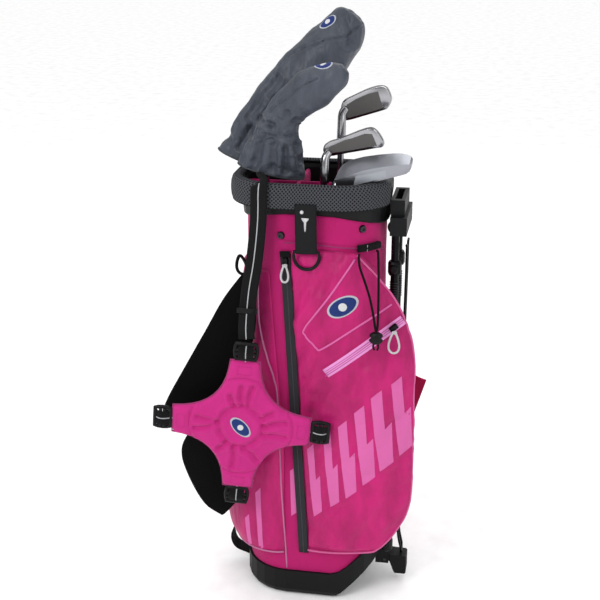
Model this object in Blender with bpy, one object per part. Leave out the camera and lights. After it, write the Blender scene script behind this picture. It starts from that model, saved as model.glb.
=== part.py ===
"""Junior golf club set: a stand bag, two headcovered clubs, two irons, a putter and a harness.

Metres, +Z up. The origin is the centre of the bag's flat underside. +X is the side with the
folding stand, -X the side with the harness, and -Y the front, with the long zip.
"""

import math

import bmesh
import bpy
from mathutils import Matrix, Vector

GAP = 0.0003

# Bag body: rounded-rectangle sections, width along X and depth along Y.
SLEEVE_TOP = (0.171, 0.132)
SLEEVE_BOTTOM = (0.174, 0.130)
SLEEVE_CORNER = 0.058
SLEEVE_WALL = 0.003
SLEEVE_TOP_Z = 0.530
BASE_FLOOR = 0.006
BASE_WALL = 0.0035
BASE_RIM_Z = 0.037
BASE_TAB_Z = 0.068
BEVEL_START_X = 0.034
BEVEL_SLOPE = math.radians(42)

# Collar.
COLLAR_WIDTH = 0.193
COLLAR_DEPTH = 0.150
COLLAR_CORNER = 0.062
COLLAR_SHIFT = -0.004
COLLAR_TOP_Z = 0.560
COLLAR_EDGE_Z = 0.532
COLLAR_ARCH = 0.020
MOUTH_INSET = 0.014
PAD_THICKNESS = 0.003
PAD_LOW_Z = 0.537
PAD_HIGH_Z = 0.5565

# Stand.
LEG_PIVOT = Vector((0.0995, 0.022, 0.505))
LEG_RADIUS = 0.005
LEG_SPLAY = math.radians(15)
LEG_END_Z = 0.066
ROCKER_PIVOT = Vector((0.0965, 0.0, 0.0350))
ROCKER_HALF = 0.0110
WIRE_RADIUS = 0.0016
WIRE_HALF_SPACING = 0.0075
WIRE_TOP_Z = 0.479

# Harness pad.
HARNESS_CENTRE = Vector((-0.078, -0.1045, 0.264))
HARNESS_TURN = math.radians(6)
HARNESS_TILT = math.radians(4.5)
ARM_REACH = 0.086
ARM_HALF_WIDTH = 0.018
HARNESS_THICKNESS = 0.014

# Clubs: the butt of each grip, and where each shaft crosses the top of the sleeve.
CLUB_LINES = {
    "driver": (Vector((-0.048, 0.030, 0.020)), Vector((-0.0690, 0.018, 0.530))),
    "hybrid": (Vector((-0.046, -0.027, 0.020)), Vector((-0.058, -0.030, 0.530))),
    "iron": (Vector((0.012, 0.026, 0.014)), Vector((0.0255, 0.0080, 0.530))),
    "wedge": (Vector((-0.002, -0.012, 0.014)), Vector((0.0105, -0.0255, 0.530))),
    "putter": (Vector((0.028, -0.037, 0.018)), Vector((0.0475, -0.0440, 0.530))),
}
SHAFT_RADIUS = 0.0043
GRIP_LENGTH = 0.200
GRIP_RADIUS = 0.0105


# ---------------------------------------------------------------- tools


def clear_scene():
    for item in list(bpy.data.objects):
        bpy.data.objects.remove(item, do_unlink=True)


def material(name, colour, roughness, metallic=0.0):
    """A Principled material with a plain colour."""
    made = bpy.data.materials.new(name)
    made.use_nodes = True
    shader = made.node_tree.nodes["Principled BSDF"]
    shader.inputs["Base Color"].default_value = (*colour, 1.0)
    shader.inputs["Roughness"].default_value = roughness
    shader.inputs["Metallic"].default_value = metallic
    made.diffuse_color = (*colour, 1.0)
    return made


def add(name, bm, look, pivot=None, parent=None, smooth=35):
    """Makes an object from a bmesh in world coordinates, with its origin at pivot."""
    bmesh.ops.recalc_face_normals(bm, faces=bm.faces)
    home = Matrix.Translation(pivot) if pivot is not None else Matrix.Identity(4)
    if parent is not None:
        home = parent.matrix_basis.copy()
    bmesh.ops.transform(bm, matrix=home.inverted(), verts=bm.verts)
    mesh = bpy.data.meshes.new(name)
    bm.to_mesh(mesh)
    bm.free()
    mesh.materials.append(LOOKS[look])
    mesh.shade_smooth()
    mesh.set_sharp_from_angle(angle=math.radians(smooth))
    made = bpy.data.objects.new(name, mesh)
    bpy.context.scene.collection.objects.link(made)
    if parent is None:
        made.matrix_basis = home
    else:
        made.parent = parent
    return made


def cut(target, name, bm, operation="DIFFERENCE"):
    """Cuts a bmesh out of an object, or joins it on, with an exact Boolean."""
    bmesh.ops.recalc_face_normals(bm, faces=bm.faces)
    mesh = bpy.data.meshes.new(name)
    bm.to_mesh(mesh)
    bm.free()
    tool = bpy.data.objects.new(name, mesh)
    bpy.context.scene.collection.objects.link(tool)
    tool.hide_render = True
    tool.display_type = "WIRE"
    modifier = target.modifiers.new(name, "BOOLEAN")
    modifier.operation = operation
    modifier.solver = "EXACT"
    modifier.object = tool


def skin(rings, loop=False):
    """A closed body through rings of equal count, capped at both ends or joined end to end."""
    bm = bmesh.new()
    rows = [[bm.verts.new(point) for point in ring] for ring in rings]
    pairs = list(zip(rows, rows[1:]))
    if loop:
        pairs.append((rows[-1], rows[0]))
    else:
        bm.faces.new(rows[0])
        bm.faces.new(rows[-1])
    for low, high in pairs:
        for index, corner in enumerate(low):
            after = (index + 1) % len(low)
            bm.faces.new((corner, low[after], high[after], high[index]))
    return bm


def box(low, high):
    """An upright box between two corners."""
    x0, y0, z0 = low
    x1, y1, z1 = high
    rings = [[(x0, y0, z), (x1, y0, z), (x1, y1, z), (x0, y1, z)] for z in (z0, z1)]
    return skin(rings)


def frame_along(tangent, facing):
    """Two unit vectors square to a tangent: the one nearest to facing, and the one across."""
    tangent = tangent.normalized()
    front = (facing - tangent * facing.dot(tangent)).normalized()
    return front, tangent.cross(front)


def tangents(path):
    last = len(path) - 1
    return [path[min(i + 1, last)] - path[max(i - 1, 0)] for i in range(last + 1)]


def smooth_route(points, steps):
    """A Catmull-Rom curve through hand-placed points, with steps spans between each two."""
    points = [Vector(point) for point in points]
    ends = [points[0] * 2 - points[1], *points, points[-1] * 2 - points[-2]]
    route = []
    for a, b, c, d in zip(ends, ends[1:], ends[2:], ends[3:]):
        for step in range(steps):
            t = step / steps
            route.append(
                b + (c - a) * (t / 2)
                + (a * 2 - b * 5 + c * 4 - d) * (t * t / 2)
                + (b * 3 - a - c * 3 + d) * (t ** 3 / 2)
            )
    route.append(points[-1])
    return route


def oval_rings(path, sizes, facing, sides=12):
    """Oval rings across a path: sizes are the half-widths across and along facing."""
    rings = []
    for centre, tangent, (wide, deep) in zip(path, tangents(path), sizes):
        front, side = frame_along(tangent, facing)
        angles = [2 * math.pi * k / sides for k in range(sides)]
        rings.append([centre + side * (wide * math.cos(a)) + front * (deep * math.sin(a)) for a in angles])
    return rings


def ribbon(path, width, thickness, facing):
    """A flat strap along a path, with its broad face towards facing."""
    rings = []
    for centre, tangent in zip(path, tangents(path)):
        front, side = frame_along(tangent, facing)
        corners = ((-1, -1), (1, -1), (1, 1), (-1, 1))
        rings.append([centre + side * (width / 2 * i) + front * (thickness / 2 * j) for i, j in corners])
    return skin(rings)


def cylinder(start, end, radius, sides=12, end_radius=None):
    """A straight round bar between two points."""
    start, end = Vector(start), Vector(end)
    facing = Vector((0, 0, 1)) if abs((end - start).normalized().z) < 0.9 else Vector((1, 0, 0))
    second = radius if end_radius is None else end_radius
    return skin(oval_rings([start, end], [(radius, radius), (second, second)], facing, sides))


def grid_plate(columns, rows, holes, place, thickness):
    """A plate of grid cells with some left out. place turns (column, row, depth) into a point."""
    bm = bmesh.new()
    corners = {}

    def corner(i, j, side):
        key = (i, j, side)
        if key not in corners:
            corners[key] = bm.verts.new(place(columns[i], rows[j], thickness * side))
        return corners[key]

    across, up = len(columns) - 1, len(rows) - 1
    kept = {(i, j) for i in range(across) for j in range(up)} - set(holes)
    for i, j in sorted(kept):
        around = ((i, j), (i + 1, j), (i + 1, j + 1), (i, j + 1))
        for side in (0, 1):
            bm.faces.new([corner(*at, side) for at in around])
        beside = ((i, j - 1), (i + 1, j), (i, j + 1), (i - 1, j))
        for k, neighbour in enumerate(beside):
            if neighbour not in kept:
                a, b = around[k], around[(k + 1) % 4]
                bm.faces.new((corner(*a, 0), corner(*b, 0), corner(*b, 1), corner(*a, 1)))
    return bm


def section(width, depth, radius, z, shift=0.0, steps=6):
    """A rounded rectangle, counter-clockwise from above. z is a height or a function of x."""
    ring = []
    for turn in range(4):
        sign_x = (1, -1, -1, 1)[turn]
        sign_y = (1, 1, -1, -1)[turn]
        centre_x = shift + sign_x * (width / 2 - radius)
        centre_y = sign_y * (depth / 2 - radius)
        for step in range(steps + 1):
            angle = math.pi / 2 * (turn + step / steps)
            x = centre_x + radius * math.cos(angle)
            y = centre_y + radius * math.sin(angle)
            ring.append((x, y, z(x) if callable(z) else z))
    return ring


def rim_point(width, depth, radius, s, z, offset=0.0, shift=0.0):
    """A point at distance s round a section from the middle of its front towards +X."""
    sign = 1 if s >= 0 else -1
    s = abs(s)
    flat, side, arc = width / 2 - radius, depth / 2 - radius, radius * math.pi / 2
    if s <= flat:
        point, normal = (s, -depth / 2), (0.0, -1.0)
    elif s <= flat + arc:
        turn = (s - flat) / radius
        normal = (math.sin(turn), -math.cos(turn))
        point = (flat + radius * normal[0], radius * normal[1] - side)
    elif s <= flat + arc + 2 * side:
        point, normal = (width / 2, s - flat - arc - side), (1.0, 0.0)
    else:
        turn = min((s - flat - arc - 2 * side) / radius, math.pi / 2)
        normal = (math.cos(turn), math.sin(turn))
        point = (flat + radius * normal[0], side + radius * normal[1])
    x = sign * (point[0] + offset * normal[0]) + shift
    return Vector((x, point[1] + offset * normal[1], z))


def blend(a, b, share):
    return a + (b - a) * share


def sleeve_size(z):
    share = z / SLEEVE_TOP_Z
    return tuple(blend(low, high, share) for low, high in zip(SLEEVE_BOTTOM, SLEEVE_TOP))


def sleeve_point(s, z, offset=0.0):
    width, depth = sleeve_size(z)
    return rim_point(width, depth, SLEEVE_CORNER, s, z, offset)


def between(stations, z):
    """Smooth values at a height from a short list of (height, value, value, ...) stations."""
    for low, high in zip(stations, stations[1:]):
        if z <= high[0]:
            share = max(0.0, (z - low[0]) / (high[0] - low[0]))
            return [blend(a, b, share) for a, b in zip(low[1:], high[1:])]
    return list(stations[-1][1:])


# ---------------------------------------------------------------- bag


def above_bevel(bm, lift):
    """Cuts the sloped underside of the base off a solid, lift above the real slope."""
    normal = Vector((math.sin(BEVEL_SLOPE), 0, -math.cos(BEVEL_SLOPE)))
    point = Vector((BEVEL_START_X, 0, 0)) - normal * lift
    everything = bm.verts[:] + bm.edges[:] + bm.faces[:]
    found = bmesh.ops.bisect_plane(bm, geom=everything, plane_co=point, plane_no=normal, clear_outer=True)
    edges = [item for item in found["geom_cut"] if isinstance(item, bmesh.types.BMEdge)]
    bmesh.ops.contextual_create(bm, geom=edges)
    return bm


def base_rim(x):
    """Height of the cup's rim: level, then rising to the tab on the stand side."""
    share = min(max((x - 0.030) / 0.055, 0.0), 1.0)
    return blend(BASE_RIM_Z, BASE_TAB_Z, share * share * (3 - 2 * share))


def build_base():
    width, depth = SLEEVE_BOTTOM[0] + 2 * GAP, SLEEVE_BOTTOM[1] + 2 * GAP
    outer = (width + 2 * BASE_WALL, depth + 2 * BASE_WALL)
    corner = SLEEVE_CORNER + GAP
    rings = [
        section(outer[0] - 0.016, outer[1] - 0.016, corner - 0.0045, 0.0),
        section(outer[0] - 0.006, outer[1] - 0.006, corner, 0.003),
        section(*outer, corner + BASE_WALL, 0.009),
        section(*outer, corner + BASE_WALL, BASE_TAB_Z + 0.002),
    ]
    cup = add("base_cup", above_bevel(skin(rings), 0.0), "base")
    steps = [blend(-0.1, 0.1, k / 20) for k in range(21)]
    profile = [(x, base_rim(x)) for x in steps] + [(0.1, 0.11), (-0.1, 0.11)]
    cut(cup, "base_rim_curve", skin([[(x, y, z) for x, z in profile] for y in (-0.1, 0.1)]))
    cavity = skin([section(width, depth, corner, z) for z in (BASE_FLOOR, 0.1)])
    cut(cup, "base_cavity", above_bevel(cavity, BASE_FLOOR))
    for side in (-1, 1):
        y0, y1 = sorted((side * (ROCKER_HALF + 0.0006), side * (ROCKER_HALF + 0.0050)))
        lug = box((0.0840, y0, ROCKER_PIVOT.z - 0.0055), (ROCKER_PIVOT.x + 0.0050, y1, 0.0510))
        cut(cup, "rocker_lug", lug, "UNION")
    cut(cup, "rocker_bore", pin_bar(ROCKER_PIVOT, 0.040, 0.002 + GAP))


def build_sleeve():
    rings = []
    for z, wall in ((BASE_FLOOR + GAP, 0), (SLEEVE_TOP_Z, 0), (SLEEVE_TOP_Z, 1), (BASE_FLOOR + GAP, 1)):
        width, depth = sleeve_size(z)
        inset = SLEEVE_WALL * wall
        rings.append(section(width - 2 * inset, depth - 2 * inset, SLEEVE_CORNER - inset, z))
    sleeve = add("body_sleeve", skin(rings, loop=True), "pink")
    reach = 0.12
    slope = Vector((math.cos(BEVEL_SLOPE), 0, math.sin(BEVEL_SLOPE)))
    normal = Vector((math.sin(BEVEL_SLOPE), 0, -math.cos(BEVEL_SLOPE)))
    start = Vector((BEVEL_START_X, 0, 0)) - normal * (BASE_FLOOR + GAP) - slope * 0.02
    corners = (start, start + slope * reach, start + slope * reach + normal * reach, start + normal * reach)
    wedge = skin([[corner + Vector((0, y, 0)) for corner in corners] for y in (-reach, reach)])
    cut(sleeve, "sleeve_bevel", wedge)


def collar_edge(x):
    """Lower edge of the collar: highest at mid-side, lower towards both ends."""
    share = (x - COLLAR_SHIFT) / (COLLAR_WIDTH / 2)
    return COLLAR_EDGE_Z - COLLAR_ARCH * share * share


def build_collar():
    def outer(inset, z):
        size = (COLLAR_WIDTH - 2 * inset, COLLAR_DEPTH - 2 * inset)
        return section(*size, COLLAR_CORNER - inset, z, COLLAR_SHIFT)

    skirt_width, skirt_depth = (size + 2 * GAP for size in SLEEVE_TOP)

    def inner(z):
        return section(skirt_width, skirt_depth, SLEEVE_CORNER + GAP, z)

    rings = [
        outer(0.006, COLLAR_TOP_Z),
        outer(0.002, COLLAR_TOP_Z - 0.0015),
        outer(0.0, COLLAR_TOP_Z - 0.006),
        outer(0.0, COLLAR_TOP_Z - 0.014),
        section(skirt_width + 0.011, skirt_depth + 0.013, SLEEVE_CORNER + 0.003, COLLAR_EDGE_Z + 0.003),
        section(
            skirt_width + 0.008, skirt_depth + 0.007, SLEEVE_CORNER + 0.003, lambda x: collar_edge(x) - 0.002
        ),
        section(
            skirt_width + 0.006, skirt_depth + 0.004, SLEEVE_CORNER + 0.002, lambda x: collar_edge(x) - 0.004
        ),
        inner(lambda x: collar_edge(x) - 0.004),
        inner(SLEEVE_TOP_Z + GAP),
        outer(MOUTH_INSET, SLEEVE_TOP_Z + GAP),
        outer(MOUTH_INSET, COLLAR_TOP_Z - 0.006),
        outer(MOUTH_INSET - 0.002, COLLAR_TOP_Z - 0.0015),
        outer(MOUTH_INSET - 0.006, COLLAR_TOP_Z),
    ]
    add("collar_frame", skin(rings, loop=True), "collar")


def build_collar_pad():
    """The mesh pad runs round the collar from one side of the stand bracket to the other."""
    inner = 0.0012
    profile = ((inner, PAD_LOW_Z), (PAD_THICKNESS, PAD_LOW_Z + 0.003), (PAD_THICKNESS, PAD_HIGH_Z - 0.004),
               (inner, PAD_HIGH_Z - 0.002))
    half = 2 * (COLLAR_WIDTH / 2 + COLLAR_DEPTH / 2) - (4 - math.pi) * COLLAR_CORNER
    start = COLLAR_WIDTH / 2 - COLLAR_CORNER + COLLAR_CORNER * math.pi / 2 - 0.020
    steps = 44
    rings = []
    for step in range(steps + 1):
        s = blend(start, start - 2 * half + 0.080, step / steps)
        wrapped = s if s > -half else s + 2 * half
        size = (COLLAR_WIDTH, COLLAR_DEPTH, COLLAR_CORNER)
        rings.append([rim_point(*size, wrapped, z, out, COLLAR_SHIFT) for out, z in profile])
    add("collar_pad", skin(rings), "mesh")


def build_divider():
    """A cross of two padded bars, which leaves four openings in the mouth."""
    half = 0.0025
    reach_x, reach_y = COLLAR_WIDTH / 2 - MOUTH_INSET - 0.001, COLLAR_DEPTH / 2 - MOUTH_INSET - 0.001
    middle = -0.022
    left, right = COLLAR_SHIFT - reach_x, COLLAR_SHIFT + reach_x
    bar_y = -0.006
    outline = [
        (left, bar_y - half), (middle - half, bar_y - half), (middle - half, -reach_y),
        (middle + half, -reach_y), (middle + half, bar_y - half), (right, bar_y - half),
        (right, bar_y + half), (middle + half, bar_y + half), (middle + half, reach_y),
        (middle - half, reach_y), (middle - half, bar_y + half), (left, bar_y + half),
    ]
    add("club_divider", skin([[(x, y, z) for x, y in outline] for z in (0.533, 0.552)]), "pink")


def build_stays():
    for name, s in (("stay_rod_left", -0.128), ("stay_rod_right", 0.128)):
        low = sleeve_point(s, 0.0, -SLEEVE_WALL - 0.0032)
        rod = cylinder((low.x, low.y, 0.075), (low.x * 0.985, low.y, SLEEVE_TOP_Z - 0.004), 0.0025, 8)
        add(name, rod, "rod")


def build_screws():
    for name, s, z in (("collar_screw_left", -0.034, 0.4995), ("collar_screw_right", 0.065, 0.509)):
        start = sleeve_point(s, z, GAP)
        end = sleeve_point(s, z, 0.0030)
        head = cylinder(start, end, 0.0050, 14, 0.0040)
        screw = add(name, head, "steel")
        cut(screw, "screw_socket", cylinder(sleeve_point(s, z, 0.0016), sleeve_point(s, z, 0.006), 0.0018, 6))


# ---------------------------------------------------------------- pockets and zips

POCKET_LOW_Z = 0.076
POCKET_HIGH_Z = 0.477
ZIP_TOP = Vector((-0.0285, 0, 0.474))
ZIP_BOTTOM = Vector((-0.0060, 0, 0.074))
ZIP_HALF = 0.0065
# Height, then X and Y of the pocket's outer front corner, then the front panel's bulge.
POCKET_CORNER = (
    (0.076, 0.086, -0.068, 0.004), (0.088, 0.100, -0.066, 0.008), (0.110, 0.117, -0.062, 0.012),
    (0.140, 0.130, -0.059, 0.015), (0.190, 0.134, -0.057, 0.017), (0.290, 0.133, -0.057, 0.017),
    (0.350, 0.131, -0.057, 0.015), (0.385, 0.124, -0.059, 0.013), (0.420, 0.109, -0.063, 0.010),
    (0.450, 0.088, -0.067, 0.006), (0.477, 0.063, -0.070, 0.003),
)
POCKET_LEVELS = 26


def zip_x(z):
    share = (z - ZIP_BOTTOM.z) / (ZIP_TOP.z - ZIP_BOTTOM.z)
    return blend(ZIP_BOTTOM.x, ZIP_TOP.x, share)


def pocket_front(x, z):
    """Y of the apparel pocket's front panel."""
    corner_x, corner_y, bulge = between(POCKET_CORNER, z)
    left = zip_x(z) + ZIP_HALF + 2 * GAP
    share = min(max((x - left) / (corner_x - left), 0.0), 1.0)
    near_zip = -sleeve_size(z)[1] / 2 - 0.0045
    return blend(near_zip, corner_y, share) - bulge * math.sin(math.pi * share ** 0.8)


def build_apparel_pocket():
    rings = []
    for level in range(POCKET_LEVELS + 1):
        z = blend(POCKET_LOW_Z, POCKET_HIGH_Z, level / POCKET_LEVELS)
        corner_x, corner_y, _ = between(POCKET_CORNER, z)
        left = zip_x(z) + ZIP_HALF + 2 * GAP
        steps = 10
        front_x = [blend(left, corner_x, k / steps) for k in range(steps + 1)]
        front = [Vector((x, pocket_front(x, z), z)) for x in front_x]
        flat = sleeve_size(z)[0] / 2 - SLEEVE_CORNER
        turn = math.asin(min((corner_x - flat) * 0.93 / SLEEVE_CORNER, 0.80))
        reach = flat + SLEEVE_CORNER * turn
        back = [sleeve_point(blend(reach, left, k / steps), z, 5 * GAP) for k in range(steps + 1)]
        side = front[-1].lerp(back[0], 0.5) + Vector((0.003, -0.001, 0))
        rings.append([*front, side, *back])
    add("apparel_pocket", skin(rings), "pink")


def build_side_pocket():
    """The harness-side pocket: flat near the collar and full near the base."""
    stations = (
        (0.073, 0.012), (0.082, 0.023), (0.100, 0.031), (0.135, 0.032), (0.190, 0.027), (0.250, 0.019),
        (0.320, 0.010), (0.400, 0.005), (0.455, 0.0035),
    )
    rings = []
    steps = 14
    for z, depth in stations:
        front_s = blend(-0.031, -0.050, max(0.0, (z - 0.22) / 0.24))
        outer, inner = [], []
        for k in range(steps + 1):
            share = k / steps
            s = blend(front_s, -0.215, share)
            swell = 0.003 + depth * math.sin(math.pi * share) ** 0.7
            outer.append(sleeve_point(s, z, swell))
            inner.append(sleeve_point(s, z, 3 * GAP))
        rings.append([*outer, *reversed(inner)])
    add("side_pocket", skin(rings), "pink")


def zip_point(z, out):
    return Vector((zip_x(z), -sleeve_size(z)[1] / 2 - out, z))


def loop_rings(points, radius, sides=6):
    """Rings round a closed path, for a loop of wire or cord."""
    rings = []
    count = len(points)
    for k, point in enumerate(points):
        tangent = points[(k + 1) % count] - points[k - 1]
        front, side = frame_along(tangent, Vector((0, -1, 0)))
        angles = [2 * math.pi * j / sides for j in range(sides)]
        rings.append([point + (side * math.cos(a) + front * math.sin(a)) * radius for a in angles])
    return rings


def oval_loop(top, bottom, half_width, count=14):
    """Points of an oval that hangs from top to bottom."""
    middle, half = (top + bottom) / 2, (top - bottom) / 2
    across = half.cross(Vector((0, 1, 0))).normalized() * half_width
    angles = [2 * math.pi * k / count for k in range(count)]
    return [middle + half * math.cos(a) + across * math.sin(a) for a in angles]


def build_slider(name, centre, up, out):
    """A zip slider: a small tapered block with its long side along the zip."""
    across = up.cross(out)
    rings = []
    for rise, wide in ((-0.0055, 0.0028), (-0.003, 0.0036), (0.0035, 0.0040), (0.0055, 0.0030)):
        low, high = centre + up * rise, centre + up * rise + out * 0.0035
        rings.append([low - across * wide, low + across * wide, high + across * wide * 0.7,
                      high - across * wide * 0.7])
    add(name, skin(rings), "zip_metal", pivot=centre)


def build_pull(name, top, bottom):
    ring = skin(loop_rings(oval_loop(top, bottom, 0.0042), 0.0011), loop=True)
    add(name, ring, "white", pivot=top)


def build_long_zip():
    path = [zip_point(blend(ZIP_BOTTOM.z, ZIP_TOP.z, k / 8), 0.0014) for k in range(9)]
    add("long_zip", ribbon(path, 2 * ZIP_HALF, 0.0018, Vector((0, -1, 0))), "tape")
    centre = zip_point(0.467, 0.0026)
    up = (path[-1] - path[0]).normalized()
    build_slider("long_zip_slider", centre, up, Vector((0, -1, 0)))
    top = centre + Vector((0, -0.0052, -0.002))
    build_pull("long_zip_pull", top, top - up * 0.021)


SHORT_ZIP_ENDS = ((0.026, 0.3320), (0.113, 0.3985))


def short_zip_point(share, out):
    (x0, z0), (x1, z1) = SHORT_ZIP_ENDS
    x, z = blend(x0, x1, share), blend(z0, z1, share)
    return Vector((x, pocket_front(x, z) - out, z))


def build_short_zip():
    path = [short_zip_point(k / 10, 0.0024) for k in range(11)]
    add("short_zip", ribbon(path, 0.012, 0.0018, Vector((0.15, -1, 0))), "light_pink")
    centre = short_zip_point(0.90, 0.0050)
    along = (short_zip_point(0.95, 0) - short_zip_point(0.85, 0)).normalized()
    out = frame_along(along, Vector((0.4, -1, 0)))[0]
    build_slider("short_zip_slider", centre, along, out)
    top = centre + out * 0.0052 + Vector((0, 0, -0.003))
    build_pull("short_zip_pull", top, top + Vector((0.0, -0.002, -0.026)))


# ---------------------------------------------------------------- tab, ring and towel cord


def build_tab_and_ring():
    def place(x, z, depth):
        return Vector((x, -0.0758 - depth, z))

    add("glove_tab", grid_plate((-0.0180, 0.0095), (0.4870, 0.5345), (), place, 0.003), "tab")
    top, half, drop = 0.4835, 0.0145, 0.021
    centre_y = -0.0775
    arc = [math.pi * k / 10 for k in range(11)]
    points = [Vector((-0.0040 + half * math.cos(a), centre_y, top - 0.005 - (drop - 0.005) * math.sin(a)))
              for a in arc]
    points += [Vector((-0.0040 + x, centre_y, top)) for x in (-half, -half / 3, half / 3, half)]
    add("towel_ring", skin(loop_rings(points, 0.0016), loop=True), "rubber", pivot=(-0.0040, centre_y, top))


# Route of the towel cord, placed by hand: out of the anchor, down the pocket, round and back.
CORD_RADIUS = 0.0014
CORD_ROUTE = (
    (0.0605, -0.0640, 0.4797), (0.0607, -0.0705, 0.4794), (0.0618, -0.0762, 0.4755),
    (0.0640, -0.0812, 0.4680), (0.0700, -0.0868, 0.4550),
    (0.0770, -0.0893, 0.4350), (0.0815, -0.0900, 0.4150), (0.0840, -0.0895, 0.3990),
    (0.0855, -0.0890, 0.3935), (0.0870, -0.0885, 0.3990), (0.0872, -0.0870, 0.4150),
    (0.0868, -0.0840, 0.4350), (0.0858, -0.0780, 0.4550), (0.0838, -0.0650, 0.4720),
    (0.0815, -0.0500, 0.4790), (0.0795, -0.0440, 0.4797),
)


def cord(name, route, radius, steps):
    """A round cord as a curve with filled ends."""
    curve = bpy.data.curves.new(name, "CURVE")
    curve.dimensions = "3D"
    curve.bevel_depth = radius
    curve.bevel_resolution = 2
    curve.use_fill_caps = True
    curve.resolution_u = 1
    curve.render_resolution_u = 0
    points = smooth_route(route, steps)
    spline = curve.splines.new("POLY")
    spline.points.add(len(points) - 1)
    for slot, point in zip(spline.points, points):
        slot.co = (*point, 1.0)
    curve.materials.append(LOOKS["elastic"])
    made = bpy.data.objects.new(name, curve)
    bpy.context.scene.collection.objects.link(made)


def build_towel_cord():
    path = [sleeve_point(s, 0.4860, 0.0035) for s in (0.058, 0.066, 0.074, 0.082, 0.089)]
    add("cord_anchor", ribbon(path, 0.0085, 0.0050, Vector((0, -1, 0))), "rubber")
    cord("elastic_cord", CORD_ROUTE, CORD_RADIUS, 3)
    lock_top = Vector((0.0855, -0.0890, 0.3915))
    path = [lock_top - Vector((0, 0, drop)) for drop in (0.0, 0.002, 0.012, 0.014)]
    sizes = [(0.0055, 0.0040), (0.0065, 0.0048), (0.0065, 0.0048), (0.0050, 0.0036)]
    lock = skin(oval_rings(path, sizes, Vector((0, -1, 0))))
    add("cord_lock", lock, "rubber", pivot=lock_top)


# ---------------------------------------------------------------- stand


def pin_bar(centre, half, radius, turn=0.0, sides=12):
    """A round bar along Y, turned about Z."""
    along = Vector((-math.sin(turn), math.cos(turn), 0)) * half
    return cylinder(centre - along, centre + along, radius, sides)


def build_bracket():
    x0, x1 = 0.0937, 0.1140
    block = box((x0, -0.040, 0.4975), (x1, 0.040, 0.5200))
    bracket = add("leg_bracket", block, "collar")
    handle = box((x0, -0.032, 0.5190), (0.1105, 0.032, 0.5400))
    cut(bracket, "bracket_handle", handle, "UNION")
    cut(bracket, "handle_hole", box((0.0980, -0.025, 0.5240), (0.1060, 0.025, 0.5600)))
    for side in (-1, 1):
        y0, y1 = sorted((side * 0.0125, side * 0.0315))
        cut(bracket, "leg_slot", box((0.0900, y0, 0.4800), (0.1115, y1, 0.5155)))


def build_leg(side, name):
    """One leg: a moulded head on the pin, the tube, and the collar that the rod hooks onto."""
    pivot = Vector((LEG_PIVOT.x, side * LEG_PIVOT.y, LEG_PIVOT.z))
    turn = side * LEG_SPLAY
    tube_top = pivot.z - 0.004
    tube = cylinder((pivot.x, pivot.y, LEG_END_Z + 0.004), (pivot.x, pivot.y, tube_top), LEG_RADIUS, 12)
    leg = add("leg_" + name, tube, "leg", pivot=pivot)
    head = pin_bar(pivot, 0.0068, 0.0085, turn, 16)
    clamp = skin(oval_rings([Vector((pivot.x, pivot.y, z)) for z in (0.443, 0.446, 0.458, 0.461)],
                            [(0.0072, 0.0072), (0.0085, 0.0085), (0.0085, 0.0085), (0.0072, 0.0072)],
                            Vector((0, -1, 0))))
    bore = pin_bar(pivot, 0.012, 0.002 + GAP, turn)
    for label, tool, operation in (("head", head, "UNION"), ("clamp", clamp, "UNION"),
                                   ("bore", bore, "DIFFERENCE")):
        cut(leg, "leg_" + label, tool, operation)
    pin = pin_bar(pivot, 0.0080, 0.002, turn)
    add("leg_pin_" + name, pin, "steel")
    foot_path = [Vector((pivot.x, pivot.y, z)) for z in (0.054, 0.057, 0.070, 0.078)]
    sizes = [(0.0050, 0.0050), (0.0078, 0.0078), (0.0078, 0.0078), (0.0062, 0.0062)]
    foot = add("leg_foot_" + name, skin(oval_rings(foot_path, sizes, Vector((0, -1, 0)))), "rubber",
               pivot=pivot)
    socket = cylinder((pivot.x, pivot.y, LEG_END_Z + 0.004 - GAP), (pivot.x, pivot.y, 0.1),
                      LEG_RADIUS + GAP)
    cut(foot, "foot_socket", socket)


def build_rocker():
    """The foot lever: a barrel on the pin, an arm, and the block that meets the ground."""
    x, _, z = ROCKER_PIVOT
    profile = (
        (x, z + 0.0055), (x - 0.0048, z + 0.003), (x - 0.0055, z - 0.002), (x - 0.002, z - 0.0052),
        (x + 0.006, z - 0.0050), (0.1085, 0.0140), (0.1100, 0.0120), (0.1235, 0.0120), (0.1250, 0.0140),
        (0.1250, 0.0370), (0.1235, 0.0390), (0.1100, 0.0395), (x + 0.005, z + 0.0050),
    )
    rings = [[(px, y, pz) for px, pz in profile] for y in (-ROCKER_HALF, ROCKER_HALF)]
    rocker = add("base_rocker", skin(rings), "base", pivot=ROCKER_PIVOT)
    cut(rocker, "barrel_bore", pin_bar(ROCKER_PIVOT, 0.030, 0.002 + GAP))
    add("rocker_pin", pin_bar(ROCKER_PIVOT, ROCKER_HALF + 0.0056, 0.002), "steel")


def build_actuator():
    """One bent rod: down from the left leg, across the rocker's block and up to the right leg."""
    half = WIRE_HALF_SPACING
    down = [(0.1125, -half, WIRE_TOP_Z - 0.006), (0.1125, -half, 0.440), (0.1120, -half, 0.380),
            (0.1110, -half, 0.230), (0.1110, -half, 0.090), (0.1135, -half, 0.066),
            (0.1170, -half, 0.050), (0.1175, -half + 0.003, 0.0425)]
    stub = [(0.1125, -half - 0.0015, WIRE_TOP_Z - 0.001), (0.1125, -half - 0.0080, WIRE_TOP_Z)]
    left = [*reversed(stub), *down]
    right = [(x, -y, z) for x, y, z in reversed(left)]
    path = [Vector(point) for point in (*left, *right)]
    sizes = [(WIRE_RADIUS, WIRE_RADIUS)] * len(path)
    rings = oval_rings(path, sizes, Vector((1, 0.02, 0.3)), 8)
    add("actuator_rod", skin(rings), "leg", pivot=Vector((0.1175, 0, 0.0425)))


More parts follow.
